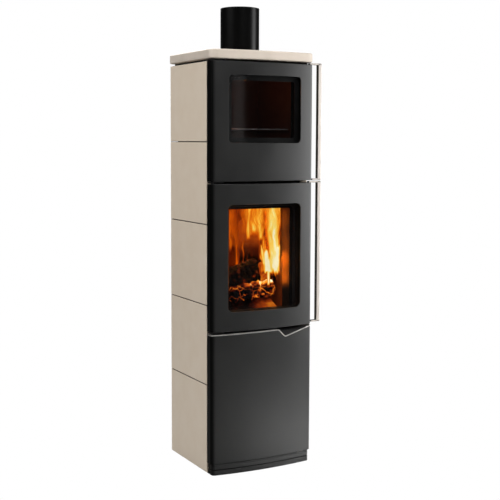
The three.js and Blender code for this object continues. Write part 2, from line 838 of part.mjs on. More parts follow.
function addOven() {
  const shell = openBox(
    [-ovenInnerX - ovenWall, ovenInnerX + ovenWall],
    [insideFrontY, ovenBackY + ovenWall],
    [ovenFloor - ovenWall, ovenCeiling + ovenWall],
    { sides: ovenWall, back: ovenWall, bottom: ovenWall, top: ovenWall },
  );
  const railTop = rackTop - rackRod - fit;
  const rails = [-1, 1].map((sign) => {
    const x = [sign * (ovenInnerX - railWidth), sign * (ovenInnerX + ovenWall / 2)];
    return block(
      ...x.sort((a, b) => a - b), insideFrontY + railWidth, ovenBackY + ovenWall / 2,
      railTop - railSheet, railTop,
    );
  });
  addPiece(stove, 'oven_shell', joined(shell, ...rails), 'heatPaint');

  const stone = block(
    -ovenInnerX + fit, ovenInnerX - fit, insideFrontY + fit, ovenBackY - fit,
    ovenFloor + fit, ovenFloor + fit + ovenStoneThickness,
  );
  addPiece(stove, 'oven_stone', stone, 'firebrick');
  addRack();
}

function addRack() {
  const x = ovenInnerX - rackSideGap;
  const y0 = insideFrontY + railWidth + rackFrontGap;
  const y1 = ovenBackY - rackBackGap;
  const z = rackTop - rackRod / 2;
  const outline = rect(-x, x, y0, y1, rackCorner);
  const rim = slab(
    shapeOf(rectPoints(outline), rectPoints(grown(outline, -rackRod))),
    z - rackRod / 2, z + rackRod / 2, rackRod / 4, 1,
  );
  const pitch = (y1 - y0 - rackRod) / (rackWires + 1);
  const wires = Array.from({ length: rackWires }, (_, i) => {
    const y = y0 + rackRod / 2 + (i + 1) * pitch;
    return crossbar(-x + rackRod / 2, x - rackRod / 2, y, z, rackWire / 2, 6);
  });
  addPiece(stove, 'oven_rack', joined(rim, ...wires), 'sheetSteel');
}

function addSootHatch() {
  const past = 1;
  const plate = sheet(
    shapeOf(rectPoints(grown(mouths.soot, sootHatchLap))),
    frameFrontY - fit - sootHatchSheet, frameFrontY - fit,
  );
  const spigot = sheet(
    shapeOf(rectPoints(grown(mouths.soot, -past)), rectPoints(grown(mouths.soot, -past - innerWall))),
    frameFrontY - fit - past, frameBackY,
  );
  const z = sootMouthBottom + sootMouthHeight / 2;
  const knobY = frameFrontY - fit - sootHatchSheet;
  const knobs = [-1, 1].map((sign) => barrel(
    sign * (sootMouthWidth / 2 - sootKnobRadius * 2), z,
    knobY - sootKnobReach, knobY + past, sootKnobRadius, 8,
  ));
  addPiece(stove, 'soot_hatch', joined(plate, spigot, ...knobs), 'castIron');
}

// ---------------------------------------------------------------- top cover and flue

function addTop() {
  const past = 1;
  const x = sideX - coverInset;
  const collarRadius = flueRadius - flueSheet - fit;
  const rimX = x - coverRimInset;
  const rimFrontY = frameFrontY + coverRimInset * 2;
  const rim = rect(-rimX, rimX, rimFrontY, backOuterY - coverRimInset, 0);
  const plate = cut(
    block(-x, x, frameFrontY, backOuterY, coverBottom, coverBottom + coverSheet),
    column(0, flueY, coverBottom - past, coverBottom + coverSheet + past, collarRadius + fit),
  );
  const upstand = slab(
    shapeOf(rectPoints(rim), rectPoints(grown(rim, -coverRimSheet))),
    coverBottom + coverSheet / 2, plateBottom - fit,
  );
  addPiece(stove, 'top_cover', joined(plate, upstand), 'heatPaint');

  const collarBottom = ovenCeiling + ovenWall + collarRise;
  const flangeBottom = coverBottom + coverSheet + fit;
  const collar = cut(
    joined(
      column(0, flueY, collarBottom, collarTop, collarRadius),
      column(0, flueY, flangeBottom, flangeBottom + flueSheet, collarFlange),
    ),
    column(0, flueY, collarBottom - past, collarTop + past, collarRadius - flueSheet),
  );
  addPiece(stove, 'flue_collar', collar, 'castIron');

  const pipeBottom = flangeBottom + flueSheet + fit;
  const pipe = cut(
    column(0, flueY, pipeBottom, flueTop, flueRadius),
    column(0, flueY, pipeBottom - past, flueTop + past, flueRadius - flueSheet),
  );
  addPiece(stove, 'flue_pipe', pipe, 'heatPaint');
}

// ---------------------------------------------------------------- hinges and catches

/** A hinge plate in a gap of the front, with pins up and down as asked. */
function hingeBracket(z, { up, down, leftX, tongueY }) {
  const frontY = hingeY - bracketFrontGap;
  const rightX = hingeX + bracketEnd;
  const tongueX = -innerX + fit;
  const stepY = tileFrontY - bracketTileGap;
  const outline = [
    [leftX, frontY], [rightX, frontY], [rightX, tongueY],
    [tongueX, tongueY], [tongueX, stepY], [leftX, stepY],
  ].map(([x, y]) => new THREE.Vector2(x, y));
  const plate = slab(shapeOf(outline), z, z + bracketThickness);
  const low = down ? z - pinReach : z + bracketThickness / 2;
  const high = up ? z + bracketThickness + pinReach : z + bracketThickness / 2;
  return plate.add(column(hingeX, hingeY, low, high, pinRadius, pinSteps));
}

function addHinges() {
  const leftX = hingeX - pinRadius * 2;
  const insideFrame = frameFrontY - fit;
  const middleOf = (bottom, top) => (bottom + top - bracketThickness) / 2;
  const lowerDoorCorner = fireDoorBottom - waveLeftDrop + trimHeight / 2;
  const coverTop = coverBottom + coverSheet + fit;
  const brackets = {
    hinge_bracket_base: hingeBracket(plinthHeight - bracketThickness, {
      up: true, down: false, leftX: hingeX, tongueY: insideFrame,
    }),
    hinge_bracket_lower: hingeBracket(middleOf(lowerDoorCorner, fireDoorBottom), {
      up: true, down: true, leftX, tongueY: insideFrame,
    }),
    hinge_bracket_middle: hingeBracket(middleOf(fireDoorTop, ovenDoorBottom), {
      up: true, down: true, leftX, tongueY: insideFrame,
    }),
    hinge_bracket_top: hingeBracket(coverTop, {
      up: false, down: true, leftX, tongueY: frameFrontY + coverRimInset * 2 - fit,
    }),
  };
  Object.entries(brackets).forEach(([name, body]) => addPiece(stove, name, body, 'heatPaint'));
}

/** A ball catch on the front frame; its nose enters a hole in the door's inner frame. */
function addCatch(name, z) {
  const [width, height] = catchPlate;
  const footY = frameFrontY - fit;
  const outline = rect(
    catchX - width / 2, catchX + width / 2, z - height / 2, z + height / 2, catchPlateCorner,
  );
  const plate = sheet(shapeOf(rectPoints(outline)), footY - carcassSheet, footY);
  const noseY = [footY - catchReach, footY - carcassSheet / 2];
  const nose = barrel(catchX, z, ...noseY, catchBarrel, pinSteps);
  const ball = new THREE.SphereGeometry(catchBarrel, pinSteps, pinSteps / 2);
  const tip = solid(ball.translate(catchX, noseY[0], z));
  addPiece(stove, name, joined(plate, nose, tip), 'satinSteel');
}

function addMagnet() {
  const outline = rect(
    catchX - magnetWidth / 2, catchX + magnetWidth / 2,
    magnetZ - magnetHeight / 2, magnetZ + magnetHeight / 2, magnetCorner,
  );
  const backY = frameFrontY - fit;
  const body = sheet(shapeOf(rectPoints(outline)), backY - magnetDepth, backY, magnetArris, 1);
  addPiece(stove, 'lower_door_magnet', body, 'sheetSteel');
}

// ---------------------------------------------------------------- doors

/** Cuts the holes for the hinge pins through a door's upper and lower edges. */
function withPinHoles(skin, bottom, top) {
  const past = 1;
  const hole = column(hingeX, hingeY, bottom - past, top + past, pinRadius + pinClearance, pinSteps);
  return cut(skin, hole);
}

/** A door's bowed steel skin: a tray open at the back, with a collar behind its window. */
function glazedSkin(bottom, top, window) {
  const past = 1;
  const outer = slab(shapeOf(doorPlan(0)), bottom, top);
  const hollow = slab(shapeOf(doorPlan(doorSheet, returnY + past)), bottom + doorSheet, top - doorSheet);
  const collar = sheet(
    shapeOf(rectPoints(grown(window, doorSheet))), frontMostY - past, glassY - fit,
  ).intersect(outer);
  const opening = sheet(shapeOf(rectPoints(window)), frontMostY - 2 * past, returnY + past);
  return withPinHoles(cut(joined(cut(outer, hollow), collar), opening), bottom, top);
}

/** The frame inside a glazed door: a ring that closes the tray and a wall that clamps the glass. */
function innerFrame(bottom, top, window, catchZ) {
  const margin = doorSheet + fit;
  const edge = rect(-sideX + margin, sideX - margin, bottom + margin, top - margin, 0);
  const ringFrontY = returnY - innerFrameSheet - fit;
  const ring = sheet(
    shapeOf(rectPoints(edge), rectPoints(window)), ringFrontY, returnY - fit,
  );
  const wall = sheet(
    shapeOf(rectPoints(grown(window, innerWall)), rectPoints(window)),
    glassY + glassThickness + fit, ringFrontY + innerFrameSheet / 2,
  );
  const past = 1;
  const catchHole = barrel(
    catchX, catchZ, ringFrontY - past, returnY + past, catchBarrel + catchHoleGap, pinSteps,
  );
  return cut(joined(ring, wall), catchHole);
}

/** The rope seal round a mouth: it bears on the front frame when its door is shut. */
function ropeSeal(mouth) {
  const outer = rectPoints(grown(mouth, ropeOffset + ropeWidth));
  const inner = rectPoints(grown(mouth, ropeOffset));
  return sheet(shapeOf(outer, inner), returnY, frameFrontY - fit, ropeRound, 1);
}

/** A flat bar handle as tall as its door, on two arms. */
function handle(bottom, top, foot) {
  const x0 = sideX + barStandOff;
  const x1 = x0 + barWidth;
  const y = [cornerY, cornerY + barDepth];
  const arm = (startX, z) => slab(
    shapeOf(rectPoints(rect(startX, x1, ...y, barRound))), z, z + armThickness, armArris, 1,
  );
  const upper = arm(sideX - armLap, top + fit);
  const lower = arm(sideX + fit, bottom + foot);
  const bar = slab(
    shapeOf(rectPoints(rect(x0, x1, ...y, barRound))),
    bottom + foot + armThickness / 2, top + fit + armThickness / 2,
  );
  return joined(bar, upper, lower);
}

function addGlazedDoor(prefix, { bottom, top, window, mouth, foot }) {
  const group = doorGroup(bottom);
  const glass = sheet(
    shapeOf(rectPoints(grown(window, glassLap))), glassY, glassY + glassThickness,
  );
  const catchZ = (mouth.y0 + mouth.y1) / 2;
  addPiece(group, `${prefix}_skin`, glazedSkin(bottom, top, window), 'blackPaint');
  addPiece(group, `${prefix}_glass`, glass, 'fireGlass');
  addPiece(group, `${prefix}_inner_frame`, innerFrame(bottom, top, window, catchZ), 'heatPaint');
  addPiece(group, `${prefix}_seal`, ropeSeal(mouth), 'ropeSeal');
  addPiece(group, `${prefix}_handle`, handle(bottom, top, foot), 'satinSteel');
  addCatch(`${prefix}_catch`, catchZ);
}

/** The region under the wave along the lower door's top, lowered by a drop. */
function underWave(drop, bottom) {
  const past = 10;
  const reach = sideX + past / 2;
  const level = fireDoorBottom - drop;
  const wave = filleted([
    [-reach, level - waveLeftDrop],
    [shoulderX, level - shoulderDrop, shoulderRadius + drop],
    [notchX, level - notchDrop, notchRadius],
    [reach, level - waveRightDrop],
  ], false);
  const foot = [new THREE.Vector2(-reach, bottom), new THREE.Vector2(reach, bottom)];
  return sheet(shapeOf([...foot, ...wave.reverse()]), frontMostY - past, returnY + past);
}

function addLowerDoor() {
  const past = 1;
  const bottom = lowerDoorBottom;
  const group = doorGroup(bottom);
  const skinDrop = trimHeight / 2 + fit;
  const outer = slab(shapeOf(doorPlan(0)), bottom, fireDoorBottom)
    .intersect(underWave(skinDrop, bottom - past));
  const insidePlan = shapeOf(doorPlan(doorSheet, returnY + past));
  const hollow = slab(insidePlan, bottom + doorSheet, fireDoorBottom)
    .intersect(underWave(skinDrop + doorSheet, bottom - past));
  const skin = withPinHoles(cut(outer, hollow), bottom, fireDoorBottom);
  addPiece(group, 'lower_door_skin', skin, 'blackPaint');

  const strip = cut(
    slab(shapeOf(doorPlan(-trimProud)), bottom, fireDoorBottom + past),
    slab(shapeOf(doorPlan(trimDepth, returnY + past)), bottom - past, fireDoorBottom + 2 * past),
  );
  const band = cut(
    underWave(-trimHeight / 2, bottom),
    underWave(trimHeight / 2, bottom - past),
  );
  const trim = withPinHoles(strip.intersect(band), bottom, fireDoorBottom);
  addPiece(group, 'lower_door_trim', trim, 'satinSteel');

  const strikerY = frameFrontY - fit - magnetDepth - fit;
  const edgeX = sideX - doorSheet - fit;
  const z = [magnetZ - magnetHeight / 2, magnetZ + magnetHeight / 2];
  const striker = joined(
    block(catchX - magnetWidth / 2, edgeX, strikerY - strikerSheet, strikerY, ...z),
    block(edgeX - strikerSheet, edgeX, strikerY - strikerLeg, strikerY, ...z),
  );
  addPiece(group, 'lower_door_striker', striker, 'sheetSteel');
}

function addDoors() {
  const window = (bottom, top, width, radius) => rect(
    windowShift - width / 2, windowShift + width / 2, bottom, top, radius,
  );
  addGlazedDoor('oven_door', {
    bottom: ovenDoorBottom,
    top: ovenDoorTop,
    window: window(
      ovenDoorBottom + ovenWindowSill, ovenDoorTop - ovenWindowHead, ovenWindowWidth, ovenWindowRadius,
    ),
    mouth: mouths.oven,
    foot: ovenHandleFoot,
  });
  addGlazedDoor('fire_door', {
    bottom: fireDoorBottom,
    top: fireDoorTop,
    window: window(
      fireDoorBottom + fireWindowSill, fireDoorTop - fireWindowHead, fireWindowWidth, fireWindowRadius,
    ),
    mouth: mouths.fire,
    foot: fireHandleFoot,
  });
  addLowerDoor();
}

addBase();
addCarcass();
addFrontFrame();
addShelves();
addStore();
addAshPan();
addAirInlet();
addAirSlider();
addFireChamber();
addOven();
addSootHatch();
addTop();
addTopPlate();
addTiles();
addHinges();
addMagnet();
addDoors();

export default stove;
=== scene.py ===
"""A tall tiled wood stove in a plain studio.

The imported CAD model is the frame. The curved sheet metal, the ceramic top, the handles and the
ropes are made again here with their real roundings, and the other CAD pieces are carried over
with a finish of their own. Sizes are in millimetres until a mesh is made, and then in metres.
"""

import json
import logging
import math
import random
from collections.abc import Callable, Sequence
from dataclasses import dataclass, field
from enum import Enum

import bmesh
import bpy
from mathutils import Matrix, Vector, noise


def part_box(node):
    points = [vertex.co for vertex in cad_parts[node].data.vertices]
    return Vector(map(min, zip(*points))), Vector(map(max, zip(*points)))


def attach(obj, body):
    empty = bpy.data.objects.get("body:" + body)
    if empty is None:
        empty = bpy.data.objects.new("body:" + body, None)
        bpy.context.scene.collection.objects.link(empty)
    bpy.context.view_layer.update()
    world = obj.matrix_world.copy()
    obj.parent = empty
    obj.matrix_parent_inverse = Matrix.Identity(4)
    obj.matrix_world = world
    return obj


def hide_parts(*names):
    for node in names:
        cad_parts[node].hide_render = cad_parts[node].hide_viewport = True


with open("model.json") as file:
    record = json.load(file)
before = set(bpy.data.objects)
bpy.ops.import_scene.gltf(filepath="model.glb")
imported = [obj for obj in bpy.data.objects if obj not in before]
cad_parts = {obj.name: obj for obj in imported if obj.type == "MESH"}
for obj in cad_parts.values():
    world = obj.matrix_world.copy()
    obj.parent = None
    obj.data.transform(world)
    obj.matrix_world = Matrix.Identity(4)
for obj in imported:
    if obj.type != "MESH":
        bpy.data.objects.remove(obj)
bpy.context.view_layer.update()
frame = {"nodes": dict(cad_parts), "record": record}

log = logging.getLogger("stove")
MM = 0.001
QUARTER = 0.5 * math.pi
WHITE = (1.0, 1.0, 1.0, 1.0)
Point = tuple[float, float, float]
Measures = tuple[float, float, float]
Span = tuple[float, float]
Outline = list[Span]
Height = Callable[[float], float]
Piece = bpy.types.Object
Tree = bpy.types.NodeTree
Node = bpy.types.Node
Socket = bpy.types.NodeSocket


def clamp(share: float) -> float:
    """Keeps a share between nothing and all."""
    return max(0.0, min(1.0, share))


# ------------------------------------------------------------------ colour and nodes


def linear(colour: str) -> tuple[float, float, float, float]:
    """Turns an sRGB hex colour into the linear values that a shader takes.

    Args:
        colour: Six hex digits.

    Returns:
        Linear red, green and blue, and a full alpha.
    """
    parts = [int(colour[i : i + 2], 16) / 255 for i in (0, 2, 4)]
    r, g, b = (p / 12.92 if p <= 0.04045 else ((p + 0.055) / 1.055) ** 2.4 for p in parts)
    return (r, g, b, 1.0)


def put(node: Node, key: str | int, value: object) -> None:
    """Gives one input of a node what belongs in it.

    Args:
        node: The node.
        key: The input's name or number.
        value: A constant, a socket, or a node, which stands for its first output in use.
    """
    if isinstance(value, Node):
        value = next(socket for socket in value.outputs if socket.enabled)
    if isinstance(value, Socket):
        node.id_data.links.new(value, node.inputs[key])
    else:
        node.inputs[key].default_value = value


def add(
    tree: Tree,
    kind: str,
    inputs: dict[str | int, object] | Sequence[object] = (),
    stops: Sequence[tuple[float, str]] = (),
    **settings: object,
) -> Node:
    """Adds one node with its settings, values and links.

    Args:
        tree: The node tree.
        kind: The node's type, without the ShaderNode that each of them starts with.
        inputs: What goes in, by the inputs' names or numbers, or in their order.
        stops: A ramp's stops from left to right, as positions and sRGB hex colours.
        **settings: The node's own properties.

    Returns:
        The new node.
    """
    made = tree.nodes.new(f"ShaderNode{kind}")
    for key, value in settings.items():
        setattr(made, key, value)
    for key, value in inputs.items() if isinstance(inputs, dict) else enumerate(inputs):
        put(made, key, value)
    if stops:
        first, *middle, last = stops
        elements = made.color_ramp.elements
        for element, (position, colour) in zip(elements, (first, last)):
            element.position, element.color = position, linear(colour)
        for position, colour in middle:
            elements.new(position).color = linear(colour)
    return made


def per_mm(size: float) -> float:
    """The noise scale whose features are about that many millimetres across."""
    return 1 / (size * MM)


# ------------------------------------------------------------------ finishes


@dataclass(frozen=True)
class Finish:
    """What a surface is made of, as numbers that its shader starts from."""

    name: str
    colour: str
    roughness: float
    metallic: float = 0.0
    ior: float = 1.5

    def material(self) -> bpy.types.Material:
        """The finish's material, which is made the first time."""
        made = bpy.data.materials.get(self.name)
        if made is None:
            made = bpy.data.materials.new(self.name)
            made.use_nodes = True
            tree = made.node_tree
            tree.nodes.clear()
            base = {"Base Color": linear(self.colour), "Roughness": self.roughness}
            shader = add(tree, "BsdfPrincipled", {**base, "Metallic": self.metallic})
            if not self.metallic:
                put(shader, "IOR", self.ior)
            place = add(tree, "TexCoord").outputs["Object"]
            add(tree, "OutputMaterial", [self.dress(tree, shader, place)])
        return made

    def dress(self, tree: Tree, shader: Node, place: Socket) -> Node:
        """Adds the finish's own pattern.

        Args:
            tree: The material's node tree.
            shader: The Principled shader, with its constant values set.
            place: The point in the row frame, in metres.

        Returns:
            The shader that the surface takes.
        """
        return shader

    def mottle(
        self,
        tree: Tree,
        shader: Node,
        place: Socket,
        other: str,
        size: float,
        span: Span = (0.35, 0.65),
    ) -> Node:
        """Lets the base colour drift between the finish's colour and another.

        Args:
            tree: The material's node tree.
            shader: The shader whose base colour is driven.
            place: The point in the row frame.
            other: The other colour, as sRGB hex.
            size: How far apart the patches are, in millimetres.
            span: The stretch of the noise over which the colour changes.

        Returns:
            The noise node, for further use.
        """
        cloud = add(tree, "TexNoise", {"Vector": place, "Scale": per_mm(size), "Detail": 4.0})
        stops = ((span[0], self.colour), (span[1], other))
        put(shader, "Base Color", add(tree, "ValToRGB", [cloud], stops))
        return cloud

    def relief(self, tree: Tree, shader: Node, height: Node, depth: float, strength: float) -> None:
        """Raises the surface by a pattern of the given depth in millimetres."""
        bump = {"Height": height, "Distance": depth * MM, "Strength": strength}
        put(shader, "Normal", add(tree, "Bump", bump))

    def uneven_gloss(self, tree: Tree, shader: Node, value: Node, spread: float) -> None:
        """Lets the roughness drift by a spread about the finish's own value."""
        dull, gloss = self.roughness - spread, self.roughness + spread
        put(shader, "Roughness", add(tree, "MapRange", [value, 0.3, 0.7, dull, gloss]))


@dataclass(frozen=True)
class GlazedStoneware(Finish):
    """Pressed stoneware under a poured cream glaze: a soft sheen with a faint ripple, and small
    drifts of tone where the glaze lies thicker."""

    thick_glaze: str = "c9bcae"
    shine: float = 0.5
    drift: float = 70.0
    ripple: float = 9.0
    # The dark band along the joints: painted shade for the gaps, and bare body where the glaze runs thin.
    joint_shade_and_bare_body: str = "5f4e42"
    edges_at: tuple[float, ...] = ()
    edge_width: float = 2.0

    def dress(self, tree: Tree, shader: Node, place: Socket) -> Node:
        """Adds the drift of tone, the painted shade and bare body at the joints and the ripple of the
        glaze.
        """
        put(shader, "Specular IOR Level", self.shine)
        cloud = self.mottle(tree, shader, place, self.thick_glaze, self.drift)
        if self.edges_at:
            self.paint_joint_shade_and_bare_body(tree, shader, place)
        self.uneven_gloss(tree, shader, cloud, spread=0.05)
        wave = add(tree, "TexNoise", {"Vector": place, "Scale": per_mm(self.ripple), "Detail": 2.0})
        self.relief(tree, shader, wave, depth=0.12, strength=0.35)
        return shader

    def paint_joint_shade_and_bare_body(self, tree: Tree, shader: Node, place: Socket) -> None:
        """Paints a dark band along each joint: painted shade for the gap between tiles, and the darker
        body where the glaze runs thin on the edges.
        """
        height = add(tree, "SeparateXYZ", [place]).outputs["Z"]
        share = None
        for joint in self.edges_at:
            near = add(tree, "Math", [height, joint * MM, self.edge_width * MM], operation="COMPARE")
            share = near if share is None else add(tree, "Math", [share, near], operation="ADD")
        glaze = shader.inputs["Base Color"].links[0].from_socket
        mix = {0: share, 6: glaze, 7: linear(self.joint_shade_and_bare_body)}
        put(shader, "Base Color", add(tree, "Mix", mix, data_type="RGBA"))


@dataclass(frozen=True)
class StovePaint(Finish):
    """Heat-resistant silicone paint, sprayed on sheet steel and baked: a dark satin whose fine
    grain spreads a highlight over the whole bow of a door."""

    worn: str = "1b1b1a"
    grain: float = 0.9
    shine: float = 0.5
    # Where shade is painted over the left fold, and its colour and gloss there.
    shaded_fold: Span | None = None
    fold_shade: str = "060606"
    fold_shade_shine: float = 0.06

    def dress(self, tree: Tree, shader: Node, place: Socket) -> Node:
        """Adds a slow drift of tone, the grain of the spray and the painted shade on the left fold."""
        put(shader, "Specular IOR Level", self.shine)
        cloud = self.mottle(tree, shader, place, self.worn, size=120.0, span=(0.3, 0.7))
        if self.shaded_fold:
            self.paint_fold_shade(tree, shader, place)
        self.uneven_gloss(tree, shader, cloud, spread=0.03)
        grain = add(tree, "TexNoise", {"Vector": place, "Scale": per_mm(self.grain), "Detail": 1.0})
        self.relief(tree, shader, grain, depth=0.02, strength=0.25)
        return shader

    def paint_fold_shade(self, tree: Tree, shader: Node, place: Socket) -> None:
        """Paints shade over the left fold: a darker colour and less gloss, standing in for the shade and
        the dark reflection that the fold lies in.
        """
        start, end = self.shaded_fold
        across = add(tree, "SeparateXYZ", [place]).outputs["X"]
        fold = [across, start * MM, end * MM]
        lit_share = add(tree, "MapRange", fold, interpolation_type="SMOOTHSTEP")
        gloss = add(tree, "MapRange", [lit_share, 0.0, 1.0, self.fold_shade_shine, self.shine])
        put(shader, "Specular IOR Level", gloss)
        paint = shader.inputs["Base Color"].links[0].from_socket
        mix = {0: lit_share, 6: linear(self.fold_shade), 7: paint}
        put(shader, "Base Color", add(tree, "Mix", mix, data_type="RGBA"))


@dataclass(frozen=True)
class BrushedStainless(Finish):
    """Stainless steel bar, brushed along its length: fine lines that stretch a highlight."""

    line: float = 0.8
    stretch: Point = (1.0, 1.0, 0.02)

    def dress(self, tree: Tree, shader: Node, place: Socket) -> Node:
        """Adds the brush lines, drawn coarser than real so that they show."""
        run = add(tree, "Mapping", {"Vector": place, "Scale": self.stretch})
        lines = add(tree, "TexNoise", {"Vector": run, "Scale": per_mm(self.line), "Detail": 2.0})
        self.uneven_gloss(tree, shader, lines, spread=0.07)
        self.relief(tree, shader, lines, depth=0.015, strength=0.3)
        return shader


@dataclass(frozen=True)
class RolledSteel(Finish):
    """Aluminised sheet steel as it left the mill: grey, faintly spangled, with dull patches."""

    dull: str = "5d5e60"
    spangle: float = 11.0

    def dress(self, tree: Tree, shader: Node, place: Socket) -> Node:
        """Adds the spangle and the dull patches."""
        self.mottle(tree, shader, place, self.dull, size=45.0)
        flakes = add(tree, "TexVoronoi", {"Vector": place, "Scale": per_mm(self.spangle)})
        self.uneven_gloss(tree, shader, flakes, spread=0.08)
        return shader


@dataclass(frozen=True)
class CastIron(Finish):
    """Grey iron cast in sand: almost black, with the sand's grain left on it."""

    rusty: str = "33261f"
    sand: float = 1.6

    def dress(self, tree: Tree, shader: Node, place: Socket) -> Node:
        """Adds the sand grain and a breath of rust."""
        self.mottle(tree, shader, place, self.rusty, size=25.0, span=(0.5, 0.8))
        grain = add(tree, "TexNoise", {"Vector": place, "Scale": per_mm(self.sand), "Detail": 3.0})
        self.relief(tree, shader, grain, depth=0.4, strength=0.6)
        return shader


@dataclass(frozen=True)
class PressedVermiculite(Finish):
    """Fire board pressed from vermiculite: tan flakes with darker ones among them, and soot. The foot is
    darker: the soot colour in front of a depth, from one height fading out to another."""

    flake: str = "5e3312"
    soot: str = "1c0f06"
    flake_size: float = 4.0
    film_size: float = 90.0
    shine: float = 0.15
    foot: Measures = (-149.5, 672.0, 736.0)

    def dress(self, tree: Tree, shader: Node, place: Socket) -> Node:
        """Adds the flakes, a patchy film of soot, and the soot colour over the foot, darker towards its
        bottom.
        """
        put(shader, "Specular IOR Level", self.shine)
        flakes = add(tree, "TexVoronoi", {"Vector": place, "Scale": per_mm(self.flake_size)})
        mix = {0: flakes, 6: linear(self.colour), 7: linear(self.flake)}
        tone = add(tree, "Mix", mix, data_type="RGBA")
        film = add(tree, "TexNoise", {"Vector": place, "Scale": per_mm(self.film_size), "Detail": 5.0})
        cover = add(tree, "MapRange", [film, 0.42, 0.7, 0.0, 0.75])
        # Darker at the foot of the boards' front ends, fading out upwards.
        mouth, low, high = self.foot
        apart = add(tree, "SeparateXYZ", [place])
        at_mouth = add(tree, "Math", [apart.outputs["Y"], mouth * MM], operation="LESS_THAN")
        fade = [apart.outputs["Z"], low * MM, high * MM, 1.0, 0.0]
        foot = add(tree, "MapRange", fade, interpolation_type="SMOOTHSTEP")
        darker_foot = add(tree, "Math", [foot, at_mouth], operation="MULTIPLY")
        soot_and_darker_foot = add(tree, "Math", [cover, darker_foot], operation="MAXIMUM")
        mix = {0: soot_and_darker_foot, 6: tone, 7: linear(self.soot)}
        put(shader, "Base Color", add(tree, "Mix", mix, data_type="RGBA"))
        self.relief(tree, shader, flakes, depth=0.5, strength=0.5)
        return shader


@dataclass(frozen=True)
class BraidedGlassFibre(Finish):
    """Braided rope of glass fibre rubbed with graphite: dark strands that cross, 2 mm wide."""

    gap: str = "080707"
    strand: float = 2.2
    slant: float = 0.7

    def dress(self, tree: Tree, shader: Node, place: Socket) -> Node:
        """Adds two sets of crossing strands."""
        heights = []
        for turn in (self.slant, -self.slant):
            run = add(tree, "Mapping", {"Vector": place, "Rotation": (turn, turn, turn)})
            wave = {"Vector": run, "Scale": per_mm(self.strand) / math.tau, "Distortion": 0.6}
            strands = add(tree, "TexWave", wave, bands_direction="DIAGONAL")
            heights.append(strands.outputs["Fac"])
        weave = add(tree, "Math", heights, operation="MAXIMUM")
        mix = {0: weave, 6: linear(self.gap), 7: linear(self.colour)}
        put(shader, "Base Color", add(tree, "Mix", mix, data_type="RGBA"))
        self.relief(tree, shader, weave, depth=0.8, strength=1.0)
        return shader


@dataclass(frozen=True)
class CeramicGlass(Finish):
    """Drawn glass-ceramic, 4 mm thick and faintly smoked: it darkens what is behind it a little
    and carries a dim reflection of the room."""

    cover: float = 0.1
    film: float = 0.08
    film_size: float = 80.0

    def dress(self, tree: Tree, shader: Node, place: Socket) -> Node:
        """Lets a thin film of smoke drift over the inside."""
        cloud = add(tree, "TexNoise", {"Vector": place, "Scale": per_mm(self.film_size), "Detail": 3.0})
        smoke = add(tree, "MapRange", [cloud, 0.35, 0.75, self.cover, self.cover + self.film])
        put(shader, "Alpha", smoke)
        return shader


@dataclass(frozen=True)
class CharredWood(Finish):
    """Split beech burning through: black scales of char, grey ash on them, and a glow that runs
    from dark red to nearly white where the piece is hottest."""

    crack: float = 11.0
    ash: str = "1a1410"
    strength: float = 1.3
    deep: float = 3.0
    patch: float = 18.0
    flicker: Span = (-0.4, 0.3)
    seam: float = 0.2
    warp: float = 15.0
    glow: tuple[tuple[float, str], ...] = (
        (0.12, "000000"),
        (0.3, "4a1204"),
        (0.5, "a8400a"),
        (0.7, "f08a1c"),
        (0.84, "ffc860"),
        (1.0, "fff0c0"),
    )

    def dress(self, tree: Tree, shader: Node, place: Socket) -> Node:
        """Adds the scales, the ash and the glow, which follows the mesh's own heat values."""
        put(shader, "Specular IOR Level", 0.1)
        swirl = add(tree, "TexNoise", {"Vector": place, "Scale": per_mm(self.warp), "Detail": 3.0})
        bend = [swirl.outputs["Color"], (self.warp * MM,) * 3, place]
        bent = add(tree, "VectorMath", bend, operation="MULTIPLY_ADD")
        run = add(tree, "Mapping", {"Vector": bent, "Scale": (0.7, 0.7, 1.0)})
        cells = {"Vector": run, "Scale": per_mm(self.crack)}
        scales = add(tree, "TexVoronoi", cells, feature="DISTANCE_TO_EDGE")
        self.mottle(tree, shader, place, self.ash, size=18.0, span=(0.5, 0.75))
        self.relief(tree, shader, scales, self.deep, strength=1.0)
        clouds = {"Vector": place, "Scale": per_mm(self.patch), "Detail": 5.0, "Roughness": 0.65}
        patch = add(tree, "TexNoise", clouds)
        heat = add(tree, "Attribute", attribute_name="burning").outputs["Fac"]
        for part in (
            add(tree, "MapRange", [patch, 0.35, 0.65, *self.flicker]),
            add(tree, "MapRange", [scales, 0.0, 0.05, self.seam, 0.0]),
        ):
            heat = add(tree, "Math", [heat, part], operation="ADD")
        put(shader, "Emission Color", add(tree, "ValToRGB", [heat], self.glow))
        put(shader, "Emission Strength", self.strength)
        return shader


